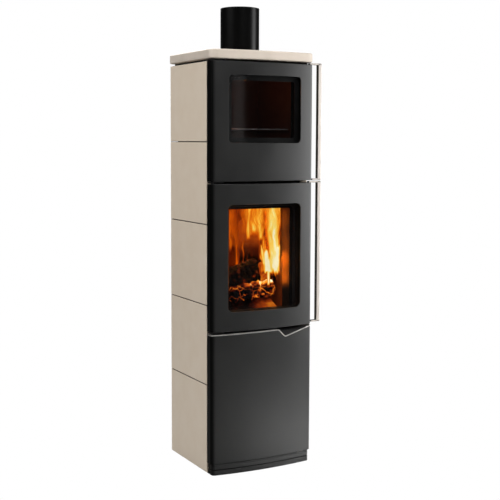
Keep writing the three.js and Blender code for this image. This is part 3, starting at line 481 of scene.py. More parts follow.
@dataclass(frozen=True)
class BurningGas(Finish):
    """A tongue of burning gas: nothing but light, clear at its edges and nearly white inside."""

    seed: float = 0.0
    strength: float = 1.2
    streak: float = 13.0
    stir: float = 0.3
    sway: float = 75.0
    swing: float = 50.0
    drawn_out: float = 0.14
    glow: tuple[tuple[float, str], ...] = (
        (0.1, "b53404"),
        (0.3, "ee6a06"),
        (0.5, "ff9e22"),
        (0.68, "ffc648"),
        (0.88, "ffe47e"),
        (1.0, "fff3c4"),
    )

    def dress(self, tree: Tree, shader: Node, place: Socket) -> Node:
        """Breaks the mesh's own heat values up into upright, swaying streaks."""
        split = add(tree, "SeparateXYZ", [place])
        wide = {"Vector": place, "Scale": per_mm(self.sway), "W": self.seed, "Detail": 2.0}
        sway = add(tree, "TexNoise", wide, noise_dimensions="4D")
        lean = [sway, self.swing * MM, split.outputs["X"]]
        bent = add(tree, "Math", lean, operation="MULTIPLY_ADD")
        drawn = add(tree, "Math", [split.outputs["Z"], self.drawn_out], operation="MULTIPLY")
        upright = add(tree, "CombineXYZ", [bent, split.outputs["Y"], drawn])
        fine = {"Vector": upright, "Scale": per_mm(self.streak), "W": self.seed, "Detail": 3.0}
        streaks = add(tree, "TexNoise", {**fine, "Roughness": 0.5}, noise_dimensions="4D")
        rough = add(tree, "MapRange", [streaks, 0.3, 0.7, -self.stir, self.stir])
        envelope = add(tree, "Attribute", attribute_name="burning").outputs["Fac"]
        heat = add(tree, "Math", [envelope, rough], operation="ADD")
        put(shader, "Emission Color", add(tree, "ValToRGB", [heat], self.glow))
        put(shader, "Alpha", add(tree, "MapRange", [heat, 0.08, 0.62]))
        put(shader, "Emission Strength", self.strength)
        put(shader, "Specular IOR Level", 0.0)
        return shader


@dataclass(frozen=True)
class StudioFloor(Finish):
    """A roll of matt grey background paper, lit until it looks white: even and without gloss."""

    cloud: str = "8a8a89"

    def dress(self, tree: Tree, shader: Node, place: Socket) -> Node:
        """Adds the paper's faint unevenness and, in direct view, the light that washes it out."""
        self.mottle(tree, shader, place, self.cloud, size=400.0)
        white = add(tree, "Emission", [WHITE, 1.0])
        return add(tree, "MixShader", [add(tree, "LightPath"), shader, white])


GLAZED_TILE = GlazedStoneware(
    "poured_glaze_on_stoneware_tile",
    "e2d3c0",
    0.42,
    thick_glaze="dfcfbb",
    # The joints, where a band of painted shade runs.
    edges_at=(341.55, 643.75, 946.95, 1253.25),
)
GLAZED_PLATE = GlazedStoneware(
    "poured_glaze_on_top_plate", "d1c5b8", 0.5, thick_glaze="cabeb0", shine=0.3
)
# Baked paint of the doors and the plinth, with shade painted over their left folds.
SATIN_PAINT = StovePaint(
    "baked_black_stove_paint", "121212", 0.4, worn="161615", shine=0.55, shaded_fold=(-214.0, -196.0)
)
MATT_PAINT = StovePaint("matt_black_heat_paint", "191919", 0.62, worn="1f1e1d", shine=0.3)
PIPE_PAINT = StovePaint("black_pipe_enamel", "040404", 0.3, worn="060606", shine=0.1)
# Near-black that stands in for the shade inside the window recesses and the plinth's groove and fold.
RECESS_SHADE = StovePaint("painted_shade_in_recesses", "020202", 0.8, worn="030303", shine=0.06)
# Painted shade and painted dark reflection for the grip's inner, back, upper and lower faces.
GRIP_SHADE = StovePaint("painted_shade_on_grip_sides", "0a0a09", 0.5, worn="0d0c0b", shine=0.25)
# Soot and painted shade on the frames behind the doors: darker than soot alone, so that the fire's light
# hardly shows on them.
SOOT_AND_SHADE = StovePaint("soot_and_painted_shade_on_frames", "080706", 0.85, worn="0b0a09", shine=0.15)
FRIT = StovePaint("fired_black_glass_print", "060606", 0.3, worn="080808")
OVEN_STEEL = StovePaint("oven_cavity_enamel", "2a1d16", 0.38, worn="33231a")
STAINLESS = BrushedStainless("brushed_stainless_steel", "d2cac3", 0.5, 1.0)
TRIM_STEEL = BrushedStainless(
    "polished_stainless_strip", "b8b5b1", 0.4, 1.0, stretch=(0.02, 0.02, 1.0)
)
SHEET_STEEL = RolledSteel("aluminised_sheet_steel", "77787a", 0.45, 0.9)
CAST_IRON = CastIron("sand_cast_grey_iron", "211f1e", 0.72, 0.3)
FIREBRICK = PressedVermiculite("pressed_vermiculite_board", "7a4418", 0.95)
ROPE = BraidedGlassFibre("graphite_glass_fibre_rope", "0f0e0e", 0.95)
WINDOW = CeramicGlass("drawn_glass_ceramic", "070708", 0.05, ior=1.53)
CHAR = CharredWood("charred_beech", "040201", 0.95, ash="0e0804")
EMBERS = CharredWood(
    "glowing_beech_embers",
    "050201",
    0.95,
    crack=30.0,
    ash="120a06",
    deep=6.0,
    patch=34.0,
    flicker=(-0.34, 0.2),
    seam=0.5,
    strength=1.7,
)
ASH_BED = CharredWood(
    "glowing_wood_ash",
    "0c0503",
    0.95,
    crack=60.0,
    ash="1a0d06",
    deep=2.0,
    patch=55.0,
    flicker=(-0.12, 0.1),
    seam=0.0,
    strength=1.0,
)
BLAZING = CharredWood(
    "blazing_beech_face", "140803", 0.9, crack=40.0, patch=40.0, flicker=(-0.12, 0.1), seam=0.05
)
# The standing log: its glow, rising towards its top, is painted firelight, and its smooth dark lower part
# is painted shade.
FIRELIT_SHADED_CHAR = CharredWood(
    "char_with_painted_firelight_and_shade",
    "040201",
    0.95,
    crack=50.0,
    ash="080503",
    deep=1.0,
    patch=60.0,
    flicker=(-0.05, 0.05),
    seam=0.0,
    strength=1.0,
)
PAPER = StudioFloor("matt_background_paper", "8f8f8e", 0.95)

SLOT_FINISHES: dict[str, Finish] = {
    "glazed_tile": GLAZED_TILE,
    "glazed_plate": GLAZED_PLATE,
    "black_paint": SATIN_PAINT,
    "heat_paint": MATT_PAINT,
    "satin_steel": STAINLESS,
    "sheet_steel": SHEET_STEEL,
    "cast_iron": CAST_IRON,
    "firebrick": FIREBRICK,
    "rope_seal": ROPE,
    "fire_glass": WINDOW,
}
OWN_FINISHES: dict[str, Finish] = {
    "oven_shell": OVEN_STEEL,
    "flue_pipe": PIPE_PAINT,
    "fire_door_inner_frame": SOOT_AND_SHADE,
    "oven_door_inner_frame": SOOT_AND_SHADE,
    "front_frame": SOOT_AND_SHADE,
}


# ------------------------------------------------------------------ meshes


def into_scene(name: str, data: bpy.types.ID) -> Piece:
    """Links a mesh, a lamp or a camera into the scene as an object of that name."""
    made = bpy.data.objects.new(name, data)
    bpy.context.scene.collection.objects.link(made)
    return made


@dataclass
class Shell:
    """A mesh in the making: points in millimetres, and the faces between them."""

    points: list[Point] = field(default_factory=list)
    faces: list[tuple[int, ...]] = field(default_factory=list)

    def ring(self, points: Sequence[Point]) -> list[int]:
        """Adds points and returns their numbers."""
        first = len(self.points)
        self.points.extend(points)
        return list(range(first, len(self.points)))

    def bridge(self, a: list[int], b: list[int], closed: bool = True) -> None:
        """Joins two rings of as many points by quads."""
        count = len(a)
        for i in range(count if closed else count - 1):
            j = (i + 1) % count
            self.faces.append((a[i], a[j], b[j], b[i]))

    def loft(self, rings: Sequence[Sequence[Point]], caps: bool = True) -> "Shell":
        """Joins closed rings one after the other.

        Args:
            rings: The rings, each with as many points.
            caps: Whether the first and last ring are filled; if not, they are joined.

        Returns:
            The shell itself.
        """
        made = [self.ring(points) for points in rings]
        for a, b in zip(made, made[1:]):
            self.bridge(a, b)
        if caps:
            self.faces += [tuple(reversed(made[0])), tuple(made[-1])]
        else:
            self.bridge(made[-1], made[0])
        return self

    def piece(self, name: str) -> Piece:
        """Turns the shell into an object, in metres, with its faces turned outwards."""
        mesh = bpy.data.meshes.new(name)
        mesh.from_pydata([tuple(c * MM for c in p) for p in self.points], [], self.faces)
        body = bmesh.new()
        body.from_mesh(mesh)
        bmesh.ops.recalc_face_normals(body, faces=body.faces)
        body.to_mesh(mesh)
        body.free()
        return into_scene(name, mesh)


def apply_modifiers(piece: Piece) -> None:
    """Keeps what a piece's modifiers make of it as its own mesh."""
    graph = bpy.context.evaluated_depsgraph_get()
    old = piece.data
    mesh = bpy.data.meshes.new_from_object(piece.evaluated_get(graph), depsgraph=graph)
    piece.modifiers.clear()
    piece.data = mesh
    mesh.name = piece.name
    bpy.data.meshes.remove(old)


def cut(piece: Piece, tool: Piece) -> None:
    """Cuts a tool's shape out of a piece, and removes the tool."""
    step = piece.modifiers.new("cut", "BOOLEAN")
    step.operation = "DIFFERENCE"
    step.solver = "EXACT"
    step.object = tool
    apply_modifiers(piece)
    bpy.data.objects.remove(tool)


def smooth(piece: Piece, sharp_from: float = 32.0) -> None:
    """Shades a piece smooth, with large faces kept flat and edges over an angle kept sharp."""
    mesh = piece.data
    mesh.polygons.foreach_set("use_smooth", [True] * len(mesh.polygons))
    mesh.set_sharp_from_angle(angle=math.radians(sharp_from))
    even = piece.modifiers.new("even", "WEIGHTED_NORMAL")
    even.keep_sharp = True
    even.weight = 100
    apply_modifiers(piece)


def join(name: str, pieces: list[Piece]) -> Piece:
    """Makes several objects into one of the given name."""
    body = bmesh.new()
    for piece in pieces:
        body.from_mesh(piece.data)
    mesh = bpy.data.meshes.new(name)
    body.to_mesh(mesh)
    body.free()
    for piece in pieces:
        bpy.data.objects.remove(piece)
    return into_scene(name, mesh)


def rounded_block(name: str, x: Span, y: Span, z: Span, radius: float, steps: int = 3) -> Piece:
    """A block with rounded edges.

    Args:
        name: The object's name.
        x: Its left and right, in millimetres.
        y: Its front and back.
        z: Its bottom and top.
        radius: The radius of its edges.
        steps: How many faces round each edge has.

    Returns:
        The object.
    """
    foot = [(x[i], y[j]) for i, j in ((0, 0), (1, 0), (1, 1), (0, 1))]
    made = Shell().loft([[(*corner, level) for corner in foot] for level in z]).piece(name)
    edge = made.modifiers.new("edge", "BEVEL")
    edge.width = radius * MM
    edge.segments = steps
    edge.limit_method = "NONE"
    apply_modifiers(made)
    return made


class Axis(Enum):
    """Which way the axis of a turned piece points."""

    UP = "up"
    BACK = "back"


def turned(name: str, profile: Sequence[Span], centre: Point, axis: Axis, steps: int) -> Piece:
    """A solid of revolution.

    Args:
        name: The object's name.
        profile: Radius and height round its closed section.
        centre: Where its axis starts.
        axis: Where its axis points.
        steps: How many faces it has round.

    Returns:
        The object.
    """
    cx, cy, cz = centre
    rings = []
    for i in range(steps):
        c, s = math.cos(math.tau * i / steps), math.sin(math.tau * i / steps)
        if axis is Axis.UP:
            rings.append([(cx + r * c, cy + r * s, cz + h) for r, h in profile])
        else:
            rings.append([(cx + r * c, cy + h, cz + r * s) for r, h in profile])
    return Shell().loft(rings, caps=False).piece(name)


def arc(x: float, y: float, radius: float, start: float, swing: float, steps: int) -> Outline:
    """Points along an arc, with both its ends.

    Args:
        x: The centre's first coordinate.
        y: The centre's second coordinate.
        radius: The arc's radius.
        start: The angle that it starts at.
        swing: The angle that it runs through.
        steps: The steps along it.

    Returns:
        The points.
    """
    angles = [start + swing * i / steps for i in range(steps + 1)]
    return [(x + radius * math.cos(a), y + radius * math.sin(a)) for a in angles]


def rounded_rect(x: Span, z: Span, radius: float, side: int = 1, corner: int = 8) -> Outline:
    """The outline of a rounded rectangle seen from the front.

    Args:
        x: Its left and right.
        z: Its bottom and top.
        radius: The radius of its corners.
        side: The steps along the upper and lower edge.
        corner: The steps round a corner.

    Returns:
        Its points, anticlockwise from the lower left corner.
    """
    left, right, low, high = x[0] + radius, x[1] - radius, z[0] + radius, z[1] - radius

    def along(start: float, end: float, height: float) -> Outline:
        """The points between the ends of a level edge."""
        return [(start + (end - start) * i / side, height) for i in range(1, side)]

    return [
        *arc(left, low, radius, math.pi, QUARTER, corner),
        *along(left, right, z[0]),
        *arc(right, low, radius, 3 * QUARTER, QUARTER, corner),
        *arc(right, high, radius, 0.0, QUARTER, corner),
        *along(right, left, z[1]),
        *arc(left, high, radius, QUARTER, QUARTER, corner),
    ]


def level(height: float) -> Height:
    """A height, or a depth, that is the same for every x."""
    return lambda x: height


def hoop(name: str, first: Outline, second: Outline, near: Height, far: Height) -> Piece:
    """A closed frame between two outlines of as many points, seen from the front.

    Args:
        name: The object's name.
        first: The outline of one of its walls.
        second: The outline of the other.
        near: The depth of its front, as a function of x.
        far: The depth of its back.

    Returns:
        The object.
    """
    walls = ((first, near), (first, far), (second, far), (second, near))
    rings = [[(x, depth(x), z) for x, z in outline] for outline, depth in walls]
    return Shell().loft(rings, caps=False).piece(name)


def place(
    piece: Piece, body: str, finish: Finish, slot: str, instead_of: Sequence[str] = ()
) -> Piece:
    """Dresses a piece, hangs it on its body and hides the CAD nodes that it stands for.

    Args:
        piece: The finished object.
        body: The CAD body that it moves with.
        finish: What its surface is.
        slot: The record's material slot that the finish belongs to; not used.
        instead_of: The CAD nodes that it replaces.

    Returns:
        The piece.
    """
    piece.data.materials.clear()
    piece.data.materials.append(finish.material())
    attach(piece, body)
    if instead_of:
        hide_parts(*instead_of)
    log.info("%s: %s on %s", piece.name, finish.name, body)
    return piece


# ------------------------------------------------------------------ the bowed front


@dataclass(frozen=True)
class BowedFront:
    """The plan that the doors, the plinth and the top plate share: straight sides, rounded
    corners and a front that is one wide arc. Sides and arc can be set back from the doors' own."""

    half_width: float = 217.0
    corner_y: float = -202.2
    bow: float = 17.4
    corner: float = 12.0
    back_y: float = -169.0
    side_set: float = 0.0
    front_set: float = 0.0

    @property
    def radius(self) -> float:
        """The radius of the doors' arc."""
        return (self.half_width**2 + self.bow**2) / (2 * self.bow)

    @property
    def centre_y(self) -> float:
        """Where the arc's centre is, far behind."""
        return self.corner_y - self.bow + self.radius

    def face(self, x: float) -> float:
        """The y of the doors' arc at x."""
        return self.centre_y - math.sqrt(self.radius**2 - x**2)

    def plan(
        self,
        inset: float = 0.0,
        back_y: float | None = None,
        steps: int = 72,
        corner_steps: int = 10,
    ) -> Outline:
        """The outline in plan, from the left side's rear edge round to the right side's.

        Args:
            inset: How far inside the outer faces it runs.
            back_y: Where it ends; the rear edge if left out.
            steps: The steps along the front arc.
            corner_steps: The steps round each corner.

        Returns:
            Its points as x and y.
        """
        back = self.back_y if back_y is None else back_y
        side = self.half_width - self.side_set - inset
        bend = max(self.corner - inset, 0.5)
        bow = self.radius - self.front_set - inset
        x = side - bend
        y = self.centre_y - math.sqrt((bow - bend) ** 2 - x**2)
        swing = math.atan2(x, self.centre_y - y)
        down = 3 * QUARTER
        return [
            (-side, back),
            *arc(-x, y, bend, math.pi, QUARTER - swing, corner_steps),
            *arc(0.0, self.centre_y, bow, down - swing, 2 * swing, steps)[1:-1],
            *arc(x, y, bend, down + swing, QUARTER - swing, corner_steps),
            (side, back),
        ]

    def sweep(self, name: str, profile: Sequence[tuple[float, Height]], steps: int = 72) -> Piece:
        """A section carried round the plan.

        Args:
            name: The object's name.
            profile: The section's corners: the inset, and the height as a function of x.
            steps: The steps along the front arc.

        Returns:
            The object.
        """
        rails = [self.plan(inset, steps=steps) for inset, _ in profile]
        sections = [
            [(*rail[i], height(rail[i][0])) for rail, (_, height) in zip(rails, profile)]
            for i in range(len(rails[0]))
        ]
        return Shell().loft(sections).piece(name)


@dataclass(frozen=True)
class Rounding:
    """A rounded edge between a side and a flat, as steps of inset and rise."""

    radius: float
    steps: int = 3

    def offsets(self) -> list[Span]:
        """Inset from the side and distance from the flat, from the flat to the side."""
        angles = [QUARTER * i / self.steps for i in range(self.steps + 1)]
        return [(self.radius * (1 - math.sin(a)), self.radius * (1 - math.cos(a))) for a in angles]


def slab(
    name: str, plan: Callable[[float], Outline], bottom: float, top: Height, edge: Rounding
) -> Piece:
    """An upright block with a plan of its own and rounded upper and lower edges.

    Args:
        name: The object's name.
        plan: Its outline in plan, as a function of how far inside it runs.
        bottom: Its lower face.
        top: Its upper face, as a function of x.
        edge: Its edges.

    Returns:
        The object.
    """
    steps = edge.offsets()
    rings = [[(x, y, bottom + rise) for x, y in plan(inset)] for inset, rise in steps]
    rings += [[(x, y, top(x) - rise) for x, y in plan(inset)] for inset, rise in reversed(steps)]
    return Shell().loft(rings).piece(name)


@dataclass(frozen=True)
class Tray:
    """A door's bowed sheet with returned sides, open at the back."""

    edge: Rounding
    sheet: float = 3.0
    steps: int = 72
    front: BowedFront = BowedFront()

    def piece(self, name: str, bottom: float, top: Height) -> Piece:
        """Makes the tray between its lower face and its upper one, which is a function of x."""
        front, sheet, open_back = self.front, self.sheet, self.front.back_y + 2.0
        skin = slab(name, lambda inset: front.plan(inset, None, self.steps), bottom, top, self.edge)
        hollow = slab(
            "hollow",
            lambda inset: front.plan(sheet + inset, open_back, self.steps),
            bottom + sheet,
            lambda x: top(x) - sheet,
            Rounding(0.5, 1),
        )
        cut(skin, hollow)
        return skin


# ------------------------------------------------------------------ sub-assemblies


@dataclass
class GlazedDoor:
    """One of the two doors with a window: its bowed skin, rope, printed border and handle."""

    prefix: str
    bottom: float
    top: float
    window_x: Span
    window_z: Span
    window_radius: float
    mouth_x: float
    mouth_z: Span
    print_border: float = 0.0
    tray: Tray = Tray(Rounding(1.4))
    glass_front: float = -199.0
    glass_back: float = -195.0
    rope_radius: float = 5.6
    rope_out: float = 14.0
    rope_corner: float = 20.0
    bar_width: float = 14.8
    arm_thickness: float = 6.0
    arm_starts: Span = (217.3, 203.5)

    def build(self) -> None:
        """Makes the door's own pieces."""
        place(self.skin(), self.prefix, SATIN_PAINT, "black_paint", [f"{self.prefix}_skin"])
        place(self.rope(), self.prefix, ROPE, "rope_seal", [f"{self.prefix}_seal"])
        # The window recess wall takes near-black painted shade.
        place(self.collar(), self.prefix, RECESS_SHADE, "black_paint")
        handle = self.handle()
        place(handle, self.prefix, STAINLESS, "satin_steel", [f"{self.prefix}_handle"])
        # The grip's inner, back, upper and lower faces take painted shade and painted dark reflection; the
        # front keeps the steel.
        handle.data.materials.append(GRIP_SHADE.material())
        tilt = 0.5
        for face in handle.data.polygons:
            x, y, z = face.normal
            face.material_index = int(x < -tilt or y > tilt or abs(z) > tilt)
        if self.print_border:
            place(self.border(), self.prefix, FRIT, "black_paint")

    def window(self, grow: float, side: int = 36) -> Outline:
        """The window's outline, grown by a margin."""
        (left, right), (low, high) = self.window_x, self.window_z
        x, z = (left - grow, right + grow), (low - grow, high + grow)
        return rounded_rect(x, z, self.window_radius + grow, side)

    def skin(self) -> Piece:
        """The bowed tray with its window cut through, the cut's front edge rounded."""
        tray, face, past = self.tray, self.tray.front.face, 6.0
        skin = tray.piece(f"{self.prefix}_bowed_skin", self.bottom, level(self.top))
        before, behind = face(0.0) - past, face(self.window_x[1]) + tray.sheet + past
        rings = [[(x, before, z) for x, z in self.window(tray.edge.radius)]]
        for grow, depth in tray.edge.offsets():
            rings.append([(x, face(x) + depth, z) for x, z in self.window(grow)])
        rings.append([(x, behind, z) for x, z in self.window(0.0)])
        cut(skin, Shell().loft(rings).piece("window"))
        smooth(skin)
        return skin

    def collar(self) -> Piece:
        """The wall round the window, from the sheet back to the glass."""
        sheet, gap = self.tray.sheet, 0.3
        made = hoop(
            f"{self.prefix}_window_recess",
            self.window(0.0),
            self.window(sheet),
            lambda x: self.tray.front.face(x) + sheet,
            level(self.glass_front - gap),
        )
        smooth(made)
        return made

    def border(self) -> Piece:
        """The black print fired on the inside of the glass, round its edge."""
        lap, gap, thickness = 2.5, 0.03, 0.19
        (left, right), (low, high), wide = self.window_x, self.window_z, self.print_border
        clear = rounded_rect(
            (left + wide, right - wide), (low + wide, high - wide), self.window_radius * 0.6, side=4
        )
        near = self.glass_back + gap
        name = f"{self.prefix}_printed_border"
        return hoop(name, self.window(lap, side=4), clear, level(near), level(near + thickness))

    def rope(self) -> Piece:
        """The round rope that seals the mouth."""
        low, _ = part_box(f"{self.prefix}_seal")
        radius, sides = self.rope_radius, 12
        centre_y = low.y / MM + radius
        middle = rounded_rect(
            (-self.mouth_x - self.rope_out, self.mouth_x + self.rope_out),
            (self.mouth_z[0] - self.rope_out, self.mouth_z[1] + self.rope_out),
            self.rope_corner,
            side=12,
        )
        rings = []
        for i, (x, z) in enumerate(middle):
            before, after = middle[i - 1], middle[(i + 1) % len(middle)]
            run = Vector((after[0] - before[0], after[1] - before[1])).normalized()
            ring = arc(0.0, centre_y, radius, 0.0, math.tau, sides)[:-1]
            rings.append([(x + run.y * out, y, z - run.x * out) for out, y in ring])
        made = Shell().loft(rings, caps=False).piece(f"{self.prefix}_rope")
        smooth(made, sharp_from=60)
        return made

    def handle(self) -> Piece:
        """The flat bar and its two arms."""
        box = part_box(f"{self.prefix}_handle")
        (_, y0, z0), (x1, y1, z1) = ([c / MM for c in corner] for corner in box)
        x0, y, thick, short = x1 - self.bar_width, (y0, y1), self.arm_thickness, 0.4
        lower, upper = self.arm_starts
        parts = [
            rounded_block("bar", (x0, x1), y, (z0 + short, z1 - short), radius=1.6),
            rounded_block("upper", (upper, x1), y, (z1 - thick, z1), radius=1.1),
            rounded_block("lower", (lower, x1), y, (z0, z0 + thick), radius=1.1),
        ]
        for part in parts:
            smooth(part, sharp_from=50)
        return join(f"{self.prefix}_bar_handle", parts)


@dataclass
class LowerDoor:
    """The plain door over the wood store, with a wave along its top and a bright strip on it. A
    bend of the wave is its x, how far it lies under the ceiling and its radius."""

    bottom: float = 44.0
    ceiling: float = 546.5
    left_drop: float = 12.3
    right_drop: float = 3.5
    shoulder: Measures = (63.5, 9.0, 12.0)
    notch: Measures = (92.5, 38.0, 14.0)
    strip: float = 4.0
    strip_gap: float = 0.3
    strip_profile: Measures = (-0.8, 11.0, 0.7)
    reach: float = 222.0
    tray: Tray = Tray(Rounding(1.2), steps=170)

    def wave(self, drop: float = 0.0) -> Height:
        """The height of the wave over x, lowered by a drop."""
        xs = [-self.reach, self.shoulder[0], self.notch[0], self.reach]
        drops = [self.left_drop, self.shoulder[1], self.notch[1], self.right_drop]
        zs = [self.ceiling - d for d in drops]

        def slope(i: int) -> float:
            """The slope of one straight stretch."""
            return (zs[i + 1] - zs[i]) / (xs[i + 1] - xs[i])

        bends = []
        for i, radius in ((1, self.shoulder[2]), (2, self.notch[2])):
            a, b = math.atan(slope(i - 1)), math.atan(slope(i))
            reach = radius * math.tan(abs(b - a) / 2)
            bends.append((xs[i] - reach * math.cos(a), xs[i] + reach * math.cos(b), i))

        def height(x: float) -> float:
            """The wave's height at x, with its two bends rounded off."""
            for start, end, i in bends:
                if start < x < end:
                    t = (x - start) / (end - start)
                    z0 = zs[i] + (start - xs[i]) * slope(i - 1)
                    z2 = zs[i] + (end - xs[i]) * slope(i)
                    return (1 - t) ** 2 * z0 + 2 * t * (1 - t) * zs[i] + t * t * z2 - drop
            stretch = 0 if x <= xs[1] else 1 if x <= xs[2] else 2
            return zs[stretch] + (x - xs[stretch]) * slope(stretch) - drop

        return height

    def build(self) -> None:
        """Makes the skin and the strip."""
        place(self.skin(), "lower_door", SATIN_PAINT, "black_paint", ["lower_door_skin"])
        place(self.trim(), "lower_door", TRIM_STEEL, "satin_steel", ["lower_door_trim"])

    def skin(self) -> Piece:
        """The bowed tray under the wave."""
        wave = self.wave(self.strip / 2 + self.strip_gap)
        skin = self.tray.piece("lower_door_bowed_skin", self.bottom, wave)
        smooth(skin)
        return skin

    def trim(self) -> Piece:
        """The bright strip that follows the wave: how proud it stands, how deep it reaches and
        how far its edges are broken."""
        half, (proud, deep, soft) = self.strip / 2, self.strip_profile
        profile = [
            (proud + soft, self.wave(half)),
            (proud, self.wave(half - soft)),
            (proud, self.wave(-half + soft)),
            (proud + soft, self.wave(-half)),
            (deep, self.wave(-half)),
            (deep, self.wave(half)),
        ]
        trim = self.tray.front.sweep("lower_door_bright_strip", profile, self.tray.steps)
        smooth(trim, sharp_from=60)
        return trim


@dataclass
class Plinth:
    """The bowed panel under the lower door, with its shadow groove and a finer fold above. Each
    of the two is its lower edge, its upper edge and its depth."""

    bottom: float = 3.3
    top: float = 42.0
    sheet: float = 2.5
    groove: Measures = (18.8, 22.2, 1.8)
    fold: Measures = (36.4, 37.6, 0.6)
    edge: float = 0.6
    soft: float = 0.35
    front: BowedFront = BowedFront(back_y=-163.3, side_set=6.5, front_set=2.0)

    def build(self) -> None:
        """Makes the panel, with shade painted on the faces inside its groove and fold."""
        soft = self.soft
        section = [(self.edge, self.bottom), (0.0, self.bottom + self.edge)]
        for low, high, depth in (self.groove, self.fold):
            section += [(0.0, low - soft), (soft, low), (depth, low)]
            section += [(depth, high), (soft, high), (0.0, high + soft)]
        section += [(0.0, self.top - self.edge), (self.edge, self.top)]
        section += [(self.sheet, self.top), (self.sheet, self.bottom)]
        profile = [(inset, level(height)) for inset, height in section]
        panel = self.front.sweep("plinth_bowed_panel", profile)
        smooth(panel, sharp_from=50)
        place(panel, "stove", SATIN_PAINT, "black_paint", ["plinth_panel"])
        panel.data.materials.append(RECESS_SHADE.material())
        # The faces inside the groove and the fold take painted shade.
        near = 0.1
        for face in panel.data.polygons:
            height = face.center.z / MM
            for low, high, _ in (self.groove, self.fold):
                if low - near < height < high + near:
                    face.material_index = 1


@dataclass
class CeramicTop:
    """The glazed plate on top, its edges rounded all round and the flue's hole through it, and a dark
    strip under its right side that stands in for the shade in the gap beneath it."""

    bottom: float = 1556.0
    top: float = 1590.0
    side_lap: float = 3.5
    front: BowedFront = BowedFront(corner=35.0, side_set=-3.5, front_set=-9.0)
    back_y: float = 163.0
    back_corner: float = 6.0
    arris: float = 5.0
    hole: float = 77.0
    flue_y: float = -11.6
    strip: tuple[Span, Span, Span] = ((205.4, 215.0), (-165.0, 150.0), (1548.0, 1555.6))

    def build(self) -> None:
        """Makes the plate and its strip."""
        rounding = Rounding(self.arris, 5)
        plate = slab("glazed_top_plate", self.plan, self.bottom, level(self.top), rounding)
        past, soft, softer = 5.0, 2.0, 0.6
        profile = [
            (self.hole, self.bottom - past),
            (self.hole, self.top - soft),
            (self.hole + softer, self.top - softer),
            (self.hole + soft, self.top),
            (self.hole + soft, self.top + past),
        ]
        rings = []
        for radius, height in profile:
            circle = arc(0.0, self.flue_y, radius, 0.0, math.tau, 96)[:-1]
            rings.append([(x, y, height) for x, y in circle])
        cut(plate, Shell().loft(rings).piece("hole"))
        smooth(plate, sharp_from=40)
        place(plate, "stove", GLAZED_PLATE, "glazed_plate", ["top_plate"])
        # A dark strip in the gap under the plate's right side: painted shade where the gap would show the
        # backdrop.
        strip = rounded_block("plate_shadow_gap_strip", *self.strip, radius=1.0)
        place(strip, "stove", ROPE, "rope_seal")

    def plan(self, inset: float) -> Outline:
        """The plate's outline in plan, with its back corners rounded by the arris."""
        side, back = self.front.half_width + self.side_lap - inset, self.back_y - inset
        bend = self.back_corner
        rear = arc(-side + bend, back - bend, bend, QUARTER, QUARTER, 5)
        bow = self.front.plan(inset, steps=80, corner_steps=14)[1:-1]
        return [*rear, *bow, *((-x, y) for x, y in reversed(rear))]


@dataclass
class FluePipe:
    """The painted stove pipe, rolled true, with its open end cut square."""

    radius: float = 75.0
    wall: float = 2.0
    top: float = 1765.3
    y: float = -11.6
    soft: float = 0.6

    def build(self) -> None:
        """Makes the pipe."""
        low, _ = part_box("flue_pipe")
        bottom, inner, soft = low.z / MM, self.radius - self.wall, self.soft
        section = [
            (inner, bottom),
            (self.radius, bottom),
            (self.radius, self.top - soft),
            (self.radius - soft, self.top),
            (inner + soft, self.top),
            (inner, self.top - soft),
        ]
        pipe = turned("painted_flue_pipe", section, (0.0, self.y, 0.0), Axis.UP, steps=128)
        smooth(pipe, sharp_from=40)
        place(pipe, "stove", PIPE_PAINT, "heat_paint", ["flue_pipe"])


@dataclass(frozen=True)
class Screws:
    """Pan-head screws that hold one sheet: which body they ride on and where their heads sit."""

    name: str
    body: str
    seat: float
    xs: Span
    zs: tuple[float, ...]
    radius: float = 4.4
    rise: float = 2.1
    lift: float = 0.05

    def build(self) -> None:
        """Makes the heads, which point backwards, each with a round recess for the driver."""
        recess, middle, y = 0.4, 0.01, self.seat + self.lift
        shape = ((1.0, 0.0), (1.0, 0.35), (0.86, 0.8), (0.6, 1.0), (0.36, 1.0), (0.36, recess))
        section = [(self.radius * r, h * self.rise) for r, h in shape]
        section = [(middle, 0.0), *section, (middle, recess * self.rise)]
        places = [(x, y, z) for x in self.xs for z in self.zs]
        heads = [turned("head", section, at, Axis.BACK, steps=24) for at in places]
        for head in heads:
            smooth(head, sharp_from=40)
        place(join(self.name, heads), self.body, SHEET_STEEL, "sheet_steel")


# ------------------------------------------------------------------ the fire


@dataclass(frozen=True)
class Log:
    """One split log: its two ends, its thickness, and how hot it is along its top."""

    name: str
    start: Point
    end: Point
    radius: float
    finish: Finish
    heat: float = 0.0
    crown_heat: float = 0.0
    cold_end: float = 1.0
    bite: float = 6.0
    most: float = 2.0


@dataclass(frozen=True)
class Tongue:
    """One tongue of flame: where its foot and its tip are, how wide and how hot it is."""

    foot: Span
    tip: Span
    width: float
    tip_width: float
    heat: float
    fade: float = 0.0

    def at(self, x: float, z: float) -> float:
        """The tongue's heat at a point of its curtain."""
        below, foot_fade, tip_fade = 0.08, 0.12, 0.16
        ragged, lick = 16.0, 9.0
        z += ragged * noise.noise(Vector((x / lick, self.foot[0] / 7, 0.4)))
        t = (z - self.foot[1]) / (self.tip[1] - self.foot[1])
        if t < -below or t > 1.0:
            return 0.0
        middle = self.foot[0] + (self.tip[0] - self.foot[0]) * t
        width = self.width + (self.tip_width - self.width) * t
        ends = min(1.0, (t + below) / foot_fade) * min(1.0, (1.0 - t) / tip_fade)
        across = math.exp(-(((x - middle) / width) ** 2))
        return self.heat * (1.0 - self.fade * max(0.0, t)) * ends * across


@dataclass(frozen=True)
class Curtain:
    """One upright layer of flame: its depth, its left and right, its streaks and its tongues."""

    depth: float
    reach: Span
    streak: float
    stir: float
    tongues: tuple[Tongue, ...]

    def heat(self, p: Vector) -> float:
        """The hottest tongue here, with the curtain's left edge kept clear."""
        rim = min(1.0, (p.x - self.reach[0]) / 6)
        return rim * max(tongue.at(p.x, p.z) for tongue in self.tongues)


